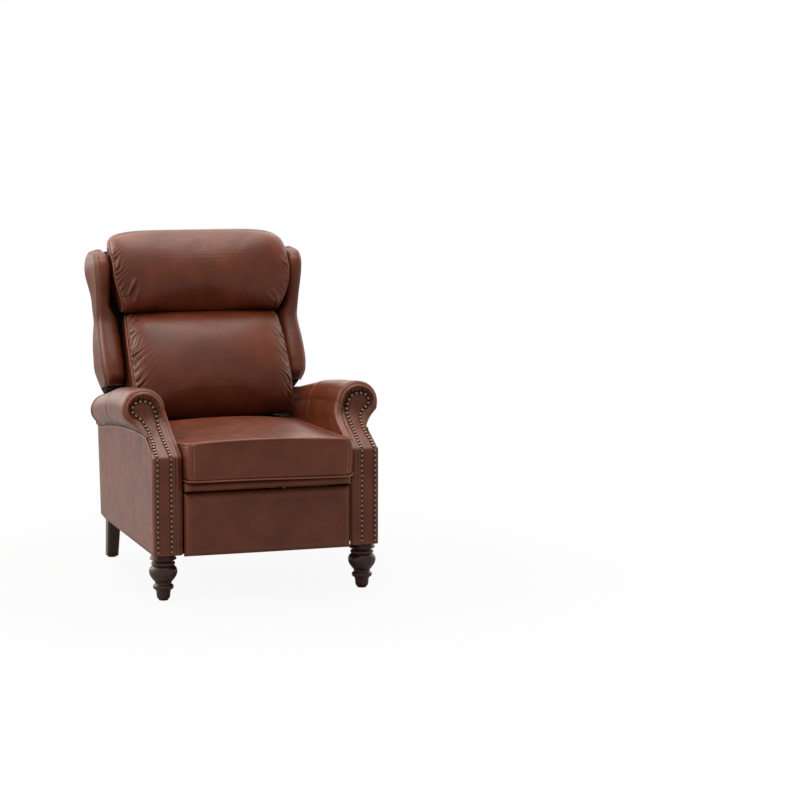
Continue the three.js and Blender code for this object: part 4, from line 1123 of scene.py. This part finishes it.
def stretched_cloth(name, corners, y, body, sink=0.0, turn=np.array):
    """Black cloth stretched at depth y over half an outline of (x, z) corners and its mirror image."""
    outline = [(x, z) for x, z in corners] + [(-x, z) for x, z in reversed(corners)]
    flat = resampled(outline, 160, closed=True)
    centre = flat.mean(axis=0)
    rings = []
    for inset in np.linspace(1, 0, CLOTH_ROWS):
        x, z = (flat + (centre - flat) * inset).T
        rings.append(turn(np.column_stack([x, np.full(len(x), y - sink * math.sin(math.pi / 2 * inset)), z])))
    piece = make_object(name, rings, grid_faces(CLOTH_ROWS, len(flat), wrap=True), merge=0.05)
    thicken(piece, CLOTH_THICKNESS)
    finish_piece(piece, LINING_AND_SHADE, body)


def linings():
    """Black cloth behind the pillows, between the arms at the rear, and behind the footrest's board. Behind the
    pillows it is near black with almost no sheen, and paints the shade in the gaps round them.
    """
    back = ((250, 22), (259, 34), (260, 120), (264, 150), (265, 368), (288, 415), (292, 450), (292, 590), (280, 612),
            (262, 636))
    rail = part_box("rear_cross_rail")[0].y / MM - FRONT_Y
    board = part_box("footrest_board")[1].y / MM - FRONT_Y
    stretched_cloth("back_shade_lining", back, 4.9, "back", turn=leaned)
    stretched_cloth("rear_dust_cover", ((260.5, 141), (260.5, 238)), rail - 1.5, "base", sink=1.6)
    stretched_cloth("footrest_lining", ((260.5, 139), (260.5, 320)), board + 0.6, "footrest")


SHOULDER_LOW = 575
SHOULDER_HIGH = 640
SHOULDER_PLACE = np.array((251, 24))
SHOULDER_HALF = np.array((22, 16))


def shoulder_cover(side, sign):
    """Black cloth over the top corner of the back's frame, beside the head pillow."""
    turns = np.linspace(0, 2 * math.pi, 40, endpoint=False)
    ways = np.stack([np.cos(turns), np.sin(turns)], axis=-1)
    rings = []
    for t in np.linspace(0, 1, 22):
        rise = SHOULDER_LOW + (SHOULDER_HIGH - SHOULDER_LOW) * math.sin(t * math.pi / 2)
        draw = 1 - 0.55 * (1 - math.sqrt(max(0, 1 - t**3)))
        fray = 0.5 * ripple(turns * 6 + t * 9, 4)
        flat = SHOULDER_PLACE + SHOULDER_HALF * draw * np.sign(ways) * np.abs(ways)**0.6 + fray[:, None]
        rings.append(np.column_stack([flat * (sign, 1), np.full(len(turns), rise)]))
    piece = closed_loft(f"{side}_shoulder_cover", leaned(rings))
    finish_piece(piece, LINING_AND_SHADE, "back")


# Seat cushion, band and footrest pad

def rounded_plan(half_width, front, rear, front_radius, rear_radius, count):
    """A rectangle with round corners, in equal steps."""
    corners = []
    for x, y, radius, start in ((half_width, rear, rear_radius, 0), (-half_width, rear, rear_radius, 90),
                                (-half_width, front, front_radius, 180), (half_width, front, front_radius, 270)):
        centre = (x - math.copysign(radius, x), y - math.copysign(radius, y - (front + rear) / 2))
        corners.append(circle_part(centre, radius, start, start + 90, 12))
    return resampled(joined(*corners), count, closed=True)


CUSHION_HALF, CUSHION_FRONT, CUSHION_REAR = 257, -47, 656
CUSHION_BOTTOM = 360.8
# Heights along the cushion's edge and along its middle, from front to rear: (distance back, height)
CUSHION_EDGE = ((-47, 471), (0, 468), (100, 462), (300, 457), (500, 453), (656, 450))
CUSHION_CROWN = ((-47, 471), (10, 476), (120, 483), (250, 487.5), (380, 488.5), (470, 484), (560, 470), (656, 452))
# Rows of its top, as shares of the way in from the edge
CUSHION_INSETS = (
    0.003, 0.008, 0.015, 0.025, 0.04, 0.06, 0.085, 0.115, 0.15, 0.19, 0.24, 0.3, 0.37, 0.45, 0.54, 0.64, 0.75, 0.87,
    1,
)
CUSHION_FRONT_RADIUS = 26
CUSHION_REAR_RADIUS = 22
CUSHION_WELT_RADIUS = 2.4
CUSHION_VOXEL = 8
CUSHION_CAP = 14
CUSHION_SLACK = 5
CORNER_SEAM = 235
CORNER_SEAM_RADIUS = 1.5


def cushion_edge(plan):
    """Height of the cushion's upper edge: crowned along the front, and a little lower on the right."""
    across = plan[:, 0] / CUSHION_HALF
    front = 1 - step(plan[:, 1], CUSHION_FRONT, 160)
    return through(*zip(*CUSHION_EDGE), plan[:, 1]) + front * (2 + 9 * (1 - across**2) - 3 * across)


def cushion_foot(plan):
    """Height of its lower edge, which droops in front of the band."""
    across = plan[:, 0] / CUSHION_HALF
    return CUSHION_BOTTOM - (1 - step(plan[:, 1], CUSHION_FRONT, CUSHION_FRONT + 16)) * 5 * step(across, -0.6, 1)


def cushion_form(plan, outward, edge_z, foot_z):
    """Rows of the cushion: its underside, its boxed side and its crowned top."""
    centre = np.array([0, (CUSHION_FRONT + CUSHION_REAR) / 2])
    rows = []
    for inset in (1.0, 0.6, 0.2, 0.04):
        rows.append(np.column_stack([plan + (centre - plan) * inset, np.full(len(plan), CUSHION_BOTTOM)]))
    for t in np.linspace(0, 1, 22):
        flat = plan + outward * (2.6 * math.sin(math.pi * t)**0.6 - 2.2)
        flat[:, 0] = np.clip(flat[:, 0], -CUSHION_HALF, CUSHION_HALF)
        rows.append(np.column_stack([flat, foot_z + 4 + (edge_z - foot_z - 5) * t]))
    for inset in CUSHION_INSETS:
        flat = plan - outward * 2.2
        flat = flat + (centre - flat) * inset
        crown = np.maximum(through(*zip(*CUSHION_CROWN), flat[:, 1]), edge_z + 2) - CUSHION_SLACK
        fullness = (1 - (1 - inset)**2.6)**0.8
        puff = 2.0 * hump(inset, 0.05, 0.05) * min(1, inset / 0.02)
        rows.append(np.column_stack([flat, edge_z + (crown - edge_z) * fullness + puff]))
    return rows


def corner_seams(points, faces, plan):
    """Upright seams near the front corners, laid on the finished cushion, in the paler piping leather that paints a
    highlight along each seam.
    """
    cushion = BVHTree.FromPolygons([tuple(point) for point in points], [tuple(face.vertices) for face in faces])
    seams = []
    for x in (-CORNER_SEAM, CORNER_SEAM):
        off_front = (plan[:, 1] > CUSHION_FRONT + 20) * 1000
        nearest = plan[np.argmin(np.abs(plan[:, 0] - x) + off_front)][None]
        heights = np.linspace(float(cushion_foot(nearest)[0]) + 4, float(cushion_edge(nearest)[0]) - 1, 40)
        hits = [cushion.ray_cast(Vector((x, CUSHION_FRONT - 60, z)), Vector((0, 1, 0)))[0] for z in heights]
        seams.append([(hit.x, hit.y - 0.6, hit.z) for hit in hits if hit])
    trim("seat_cushion_corner_seams", seams, CORNER_SEAM_RADIUS, PIPING_HIGHLIGHT, "seat")


def seat_cushion():
    plan = rounded_plan(CUSHION_HALF, CUSHION_FRONT, CUSHION_REAR, CUSHION_FRONT_RADIUS, CUSHION_REAR_RADIUS, 760)
    outward = plan - np.roll(plan, 1, axis=0)
    outward = np.stack([outward[:, 1], -outward[:, 0]], axis=-1)
    outward /= np.linalg.norm(outward, axis=1, keepdims=True)
    edge_z = cushion_edge(plan)
    foot_z = cushion_foot(plan)
    rows = cushion_form(plan, outward, edge_z, foot_z)
    piece = make_object("seat_cushion_cover", rows, grid_faces(len(rows), len(plan), wrap=True), merge=0.05)
    upper = resampled(np.column_stack([plan + outward * 0.8, edge_z]), 520, closed=True)
    lower = resampled(np.column_stack([plan - outward * 0.2, foot_z + 3]), 520, closed=True)

    def holds(points):
        seam = 1 - step(near_path(points, [upper, lower]), 5, 13)
        below = 1 - step(points[:, 2], CUSHION_BOTTOM - 3, CUSHION_BOTTOM + 4)
        side = step(np.abs(points[:, 0]), CUSHION_HALF - 6, CUSHION_HALF - 3)
        rear = step(points[:, 1], CUSHION_REAR - 30, CUSHION_REAR - 12)
        return np.maximum(np.maximum(seam, below), np.maximum(side, rear))

    def relief(points):
        front = 1 - step(points[:, 1], CUSHION_FRONT + 8, CUSHION_FRONT + 20)
        corner = -1.6 * hump(np.abs(points[:, 0]), CORNER_SEAM, 4) * front
        groove = -2.2 * hump(near_path(points, [upper, lower]), 0, 3.4)
        loose = 0.7 * ripple(points[:, 0] * 0.024, 4) * front
        edge_gap = np.minimum(CUSHION_HALF - np.abs(points[:, 0]), points[:, 1] - CUSHION_FRONT)
        wrinkle = 0.8 * np.exp(-np.clip(edge_gap, 0, None) / 24) * (1 - front)
        return corner + groove + loose + wrinkle * ripple(points[:, 0] * 0.06 + points[:, 1] * 0.07, 7)

    stuffed_cover(piece, CUSHION_VOXEL, holds, CUSHION_CAP, relief)
    points = in_chair(read_points(piece.data))
    points[:, 0] = np.clip(points[:, 0], -CUSHION_HALF - 2, CUSHION_HALF + 2)
    write_points(piece.data, in_frame(points))
    finish_piece(piece, LEATHER, "seat", nodes=["seat_cushion"])
    trim("seat_cushion_welt", [upper, lower], CUSHION_WELT_RADIUS, PIPING_HIGHLIGHT, "seat", closed=True)
    corner_seams(points, piece.data.polygons, plan)


PAD_COLUMNS = 150
PAD_ROWS = 40


def boxed_pad(name, node_name, body, front, rear, bottom, top, half, roundness, relief):
    """An upright pad: a crowned front with round edges, drawn in a little at its ends."""
    across, up = np.meshgrid(np.linspace(-1, 1, PAD_COLUMNS), np.linspace(-1, 1, PAD_ROWS))

    def rounded(value, size):
        inside = np.clip(1 - (1 - np.abs(value)) * size / roundness, 0, 1)
        return 1 - np.sqrt(np.clip(1 - inside**2, 0, 1))

    fall = np.clip(np.hypot(rounded(across, half), rounded(up, (top - bottom) / 2)), 0, 1)
    x = across * half
    z = (top + bottom) / 2 + up * (top - bottom) / 2
    y = front + fall * roundness + (1 - np.cos(across * 1.2)) * 2.5 + relief(x, z) * (1 - fall)
    points = np.array([np.stack([x, y, z], axis=-1), np.stack([x, np.full_like(x, rear), z], axis=-1)])
    skin = grid_faces(PAD_ROWS, PAD_COLUMNS)
    number = np.arange(x.size).reshape(x.shape)
    rim = [int(i) for i in (*number[0], *number[1:, -1], *number[-1, -2::-1], *number[-2:0:-1, 0])]
    faces = skin + [tuple(i + x.size for i in face) for face in skin]
    faces += [(i, j, j + x.size, i + x.size) for i, j in zip(rim, rim[1:] + rim[:1])]
    piece = make_object(name, points, faces)
    finish_piece(piece, LEATHER, body, nodes=[node_name])


def seat_band():
    def relief(x, z):
        return 0.5 * ripple(x * 0.03, 3) - 0.6 * ripple(x * 0.008, 5)

    boxed_pad("seat_front_band", "seat_band", "seat", -25, -2.5, 330.5, 356, 257, 12.5, relief)


def footrest_pad():
    def relief(x, z):
        corner = hump(x, -225, 40) * hump(z, 316, 26)
        return (0.7 * ripple(x * 0.011 + z * 0.006, 2) + 1.6 * corner * np.sin((x + 1.4 * z) * 0.16)
                - 1.6 * hump(z, 230, 90) + 1.2 + 6.0 * hump(z, 326, 16))

    boxed_pad("footrest_cover", "footrest_pad", "footrest", -17, 8.7, 135.3, 323.5, 256, 17, relief)


# Wings

WING_ARM_GAP = 2
WING_HEM = 0.042
WING_TOP_DROP = 51
BACK_HEIGHT = 648
WING_REACH = 85
WING_SPAN = 352
WING_TUCK = 36
WING_FLARE = 8
WING_INNER = 266
WING_HOLLOW = 28
WING_REAR = 40
WING_SAMPLES = (40, 20, 15)
WING_SEAM_RADIUS = 3.2
WING_WELT_RADIUS = 2.2
# Rows of shares: height, reach, tuck at the front and rear corners, and hollow for the head pillow
WING_ROWS = np.array((
    (0, -0.05, 0.94, 1, 0), (0.045, 0.59, 0.75, 0.72, 0), (0.08, 0.92, 0.64, 0.56, 0), (0.17, 1, 0.44, 0.22, 0),
    (0.26, 0.88, 0.42, 0.18, 0), (0.355, 0.68, 0.44, 0.19, 0), (0.445, 0.46, 0.5, 0.29, 0),
    (0.52, 0.33, 0.53, 0.39, 0.08), (0.6, 0.4, 0.5, 0.33, 0.9), (0.68, 0.56, 0.44, 0.28, 1),
    (0.76, 0.77, 0.37, 0.17, 1), (0.835, 0.91, 0.31, 0.06, 1), (0.92, 0.87, 0.28, 0, 1.1),
    (0.97, 0.62, 0.36, 0.06, 1.2), (1, 0.21, 0.56, 0.22, 1.45),
))


def wing_levels():
    """Where the wings start above the pivot, and how high they are."""
    bottom = (ROLL_TOP[-1][1] - 1 + WING_ARM_GAP - PIVOT_Z) / math.cos(BACK_LEAN)
    return bottom, BACK_HEIGHT - WING_TOP_DROP - bottom


def wing_section(front, outer_front, outer_rear, inner, nose):
    """A wing cut level: its inner side, its round front edge, its outer side and its rear."""
    near = joined(
        [(inner, WING_REAR)], [(inner + 0.5, front + 1.6 * nose)],
        quadratic((inner + 0.5, front + 1.6 * nose), (inner, front + 0.1 * nose), (inner + nose, front), 10)[1:],
        quadratic((outer_front - nose * 0.9, front), (outer_front - 1, front), (outer_front, front + nose * 0.8), 10))
    far = [(outer_front, front + nose * 0.8), (outer_rear, WING_REAR)]
    rear = [(outer_rear, WING_REAR), (inner, WING_REAR)]
    return joined(*(resampled(part, count)[:-1] for part, count in zip((near, far, rear), WING_SAMPLES)))


def drawn_in(ring, lift):
    """Layers that close a ring softly, upwards or downwards."""
    layers = []
    for inset, rise in ((0.05, 1.2), (0.15, 2.6), (0.35, 4.2), (0.65, 5.2)):
        layer = ring + (ring.mean(axis=0) - ring) * inset
        layer[:, 2] += rise * lift
        layers.append(layer)
    return layers


def wing(side, sign):
    """A wing's leather cover with its welt, a near-black cord along its seam that paints the seam's shadow line, and
    the black cloth under it.
    """
    bottom, height = wing_levels()
    levels = np.concatenate([np.linspace(0, 0.1, 12), np.linspace(0.1, 0.9, 46)[1:], np.linspace(0.9, 1, 16)[1:]])
    table = through(WING_ROWS[:, 0], WING_ROWS[:, 1:], levels)
    rings = []
    edge = []
    for level, (reach, tuck_front, tuck_rear, hollow) in zip(levels, table):
        z = bottom + level * height
        front = -reach * WING_REACH
        outer_front = WING_SPAN - tuck_front * WING_TUCK
        outer_rear = WING_SPAN - tuck_rear * WING_TUCK + WING_FLARE * float(hump(level, 0.86, 0.12))
        inner = WING_INNER + hollow * WING_HOLLOW
        nose = max(2, min(outer_front - inner, WING_REAR - front) / 2.2)
        section = wing_section(front, outer_front, outer_rear, inner, nose)
        rings.append(np.column_stack([section, np.full(len(section), z)]))
        edge.append((outer_front + 0.2, front + nose * 0.8, z))
    hem = int(np.searchsorted(levels, WING_HEM))
    under = [rings[hem] + (rings[hem].mean(axis=0) - rings[hem]) * inset for inset in (0.5, 0.12, 0.03)]
    cover = np.array(under + rings[hem:] + drawn_in(rings[-1], 1.6)) * (sign, 1, 1)
    finish_piece(closed_loft(f"{side}_wing_cover", leaned(cover)), LEATHER, "back", nodes=[f"{side}_wing"])
    edge = resampled(np.array(edge[hem:]) * (sign, 1, 1), 200)
    # A near-black cord paints the shadow line of the seam between the wing's front and its outer side
    trim(f"{side}_wing_seam_shadow", [leaned(edge + (1.2 * sign, 3.6, 0))], WING_SEAM_RADIUS, SEAM_SHADOW, "back")
    trim(f"{side}_wing_welt", [leaned(edge - (0, 2.8, 0))], WING_WELT_RADIUS, PIPING_HIGHLIGHT, "back")
    fray = 0.64 * ripple(np.arange(len(rings[0])) * 1.9, 3)
    lower = []
    for ring in drawn_in(rings[0], -0.3)[::-1] + rings[:hem + 1]:
        ring = ring + (ring.mean(axis=0) - ring) * 0.05
        ring[:, :2] += fray[:, None]
        lower.append(ring)
    lower[-1][:, 2] += 3
    underside = closed_loft(f"{side}_wing_underside", leaned(np.array(lower) * (sign, 1, 1)))
    finish_piece(underside, LINING_AND_SHADE, "back")


BACK_PANEL_HALF = 255
BACK_PANEL_FOOT = -150
BACK_PANEL_FRONT = 40.3
BACK_PANEL_REAR = 52.3


def outer_back():
    """The back's rear cover, softly crowned. It is as wide as the wings where they are."""
    bottom, height = wing_levels()
    across = np.linspace(-1, 1, 80)
    rings = []
    for z in (*np.linspace(BACK_PANEL_FOOT, bottom - 2, 26), *np.linspace(bottom + 2, BACK_HEIGHT - 1, 64)):
        half = BACK_PANEL_HALF
        if z > bottom:
            tuck = float(through(WING_ROWS[:, 0], WING_ROWS[:, 3], min((z - bottom) / height, 1)))
            half = WING_SPAN - tuck * WING_TUCK - 0.5
            half = half - (half - BACK_PANEL_HALF) * float(step(z - (bottom + height), 0, 6))
        rise = (z - BACK_PANEL_FOOT) / (BACK_HEIGHT + 138)
        crown = 5 * math.sin(math.pi * min(1, rise))
        edge = np.clip((1 - np.abs(across)) * half / 10, 0, 1)
        rear = BACK_PANEL_REAR - 6 * (1 - np.sqrt(1 - (1 - edge)**2)) + crown * (1 - across**2)
        rear_side = np.column_stack([across * half, rear, np.full(len(across), z)])
        front_side = np.column_stack([across[::-1] * half, np.full(len(across), BACK_PANEL_FRONT), rear_side[:, 2]])
        rings.append(joined(rear_side, front_side))
    finish_piece(closed_loft("outer_back_cover", leaned(rings), merge=0.02), LEATHER, "back", nodes=["outer_back"])


# Camera, light and floor

CAMERA_AZIMUTH = math.radians(-18.9394)
CAMERA_ELEVATION = math.radians(7.1638)
CAMERA_DISTANCE = 7.726887
CAMERA_TARGET = Vector((0.518765, -0.144449, 0.536605))
CAMERA_ROLL = math.radians(0.1432)
CAMERA_LENS = 110.305


def add_camera():
    """A camera at the photograph's viewing angle."""
    data = bpy.data.cameras.new("camera")
    data.lens = CAMERA_LENS
    data.sensor_width = 36
    data.clip_end = 100
    back = Vector((math.sin(CAMERA_AZIMUTH) * math.cos(CAMERA_ELEVATION),
                   -math.cos(CAMERA_AZIMUTH) * math.cos(CAMERA_ELEVATION), math.sin(CAMERA_ELEVATION)))
    right = (-back).cross(Vector((0, 0, 1))).normalized()
    up = right.cross(-back)
    turned_right = math.cos(CAMERA_ROLL) * right + math.sin(CAMERA_ROLL) * up
    turned_up = -math.sin(CAMERA_ROLL) * right + math.cos(CAMERA_ROLL) * up
    camera = bpy.data.objects.new("camera", data)
    camera.matrix_world = Matrix((turned_right, turned_up, back)).transposed().to_4x4()
    camera.matrix_world.translation = CAMERA_TARGET + back * CAMERA_DISTANCE
    bpy.context.scene.collection.objects.link(camera)
    bpy.context.scene.camera = camera


WARM_WHITE = (1.0, 0.965, 0.925)
LIGHT_SIZE = 2.2
LIGHT_AIM = Vector((0, 0, 0.6))
# Each light's place in metres and its power in watts
LIGHTS = {
    "rear_left_light": ((-2.6, 2.2, 2.0), 42),
    "top_light": ((-0.2, -0.9, 3.5), 24),
    "rear_top_light": ((0.0, 0.6, 3.5), 37),
}


def add_lights():
    for name, (place, power) in LIGHTS.items():
        data = bpy.data.lights.new(name, "AREA")
        data.shape = "RECTANGLE"
        data.size = data.size_y = LIGHT_SIZE
        data.energy = power
        data.color = WARM_WHITE
        light = bpy.data.objects.new(name, data)
        light.location = place
        light.rotation_euler = (LIGHT_AIM - light.location).to_track_quat("-Z", "Y").to_euler()
        bpy.context.scene.collection.objects.link(light)


def show_camera(tree, share, lit, seen, output):
    """Mixes a share of `seen` into `lit` where the camera looks."""
    camera_ray = node(tree, "ShaderNodeLightPath").outputs["Is Camera Ray"]
    factor = node(tree, "ShaderNodeMath", {0: camera_ray, 1: share}, operation="MULTIPLY").outputs[0]
    mixed = node(tree, "ShaderNodeMixShader", {0: factor, 1: lit.outputs[0], 2: seen.outputs[0]})
    tree.links.new(mixed.outputs[0], tree.nodes[output].inputs["Surface"])


def add_world():
    """A studio that is brighter behind the chair, and plain white where the camera looks past it."""
    world = bpy.data.worlds.new("world")
    bpy.context.scene.world = world
    world.use_nodes = True
    tree = world.node_tree
    direction = node(tree, "ShaderNodeTexCoord").outputs["Generated"]
    behind = node(tree, "ShaderNodeVectorMath", {0: direction, 1: (-0.25, 0.97, 0)}, operation="DOT_PRODUCT")
    plain = tree.nodes["Background"]
    plain.inputs["Color"].default_value = (*WARM_WHITE, 1)
    tree.links.new(span(tree, behind.outputs["Value"], -0.4, 0.4, 0.46, 1.5), plain.inputs["Strength"])
    bright = node(tree, "ShaderNodeBackground", {"Color": (1, 1, 1, 1), "Strength": 1.0})
    show_camera(tree, 1.0, plain, bright, "World Output")


FLOOR_HALF = 30


def add_floor():
    """A pale floor that takes soft shadows near the chair and is plain white further out."""
    corners = [(-1, -1), (1, -1), (1, 1), (-1, 1)]
    mesh = bpy.data.meshes.new("floor")
    mesh.from_pydata([(x * FLOOR_HALF, y * FLOOR_HALF, 0) for x, y in corners], [], [(0, 1, 2, 3)])
    floor = bpy.data.objects.new("floor", mesh)
    bpy.context.scene.collection.objects.link(floor)
    made, tree, shader = new_material("floor_white", Roughness=0.9, Specular_IOR_Level=0.1)
    colour = ramp(tree, noise(tree, 3.0, 2.0, 0.5), ((0.3, "#acacac"), (0.7, "#b4b4b4")))
    tree.links.new(colour, shader.inputs["Base Color"])
    glow = node(tree, "ShaderNodeEmission", {"Color": (1, 1, 1, 1), "Strength": 1.0})
    reach = node(tree, "ShaderNodeVectorMath", {0: object_place(tree)}, operation="LENGTH").outputs["Value"]
    show_camera(tree, span(tree, reach, 0.5, 1.9, 0.93, 1.0), shader, glow, "Material Output")
    mesh.materials.append(made)


# The scene

bpy.context.scene.view_settings.view_transform = "Standard"
add_camera()
add_lights()
add_world()
add_floor()
finish_cad_nodes()
for side, sign in SIDES:
    for make in (arm_face, edge_welt, nail_heads, arm_cover, roll_end, side_panel, front_leg, wing, shoulder_cover):
        make(side, sign)
for make in (back_pillow, head_pillow, seat_cushion, seat_band, footrest_pad, outer_back, linings):
    make()
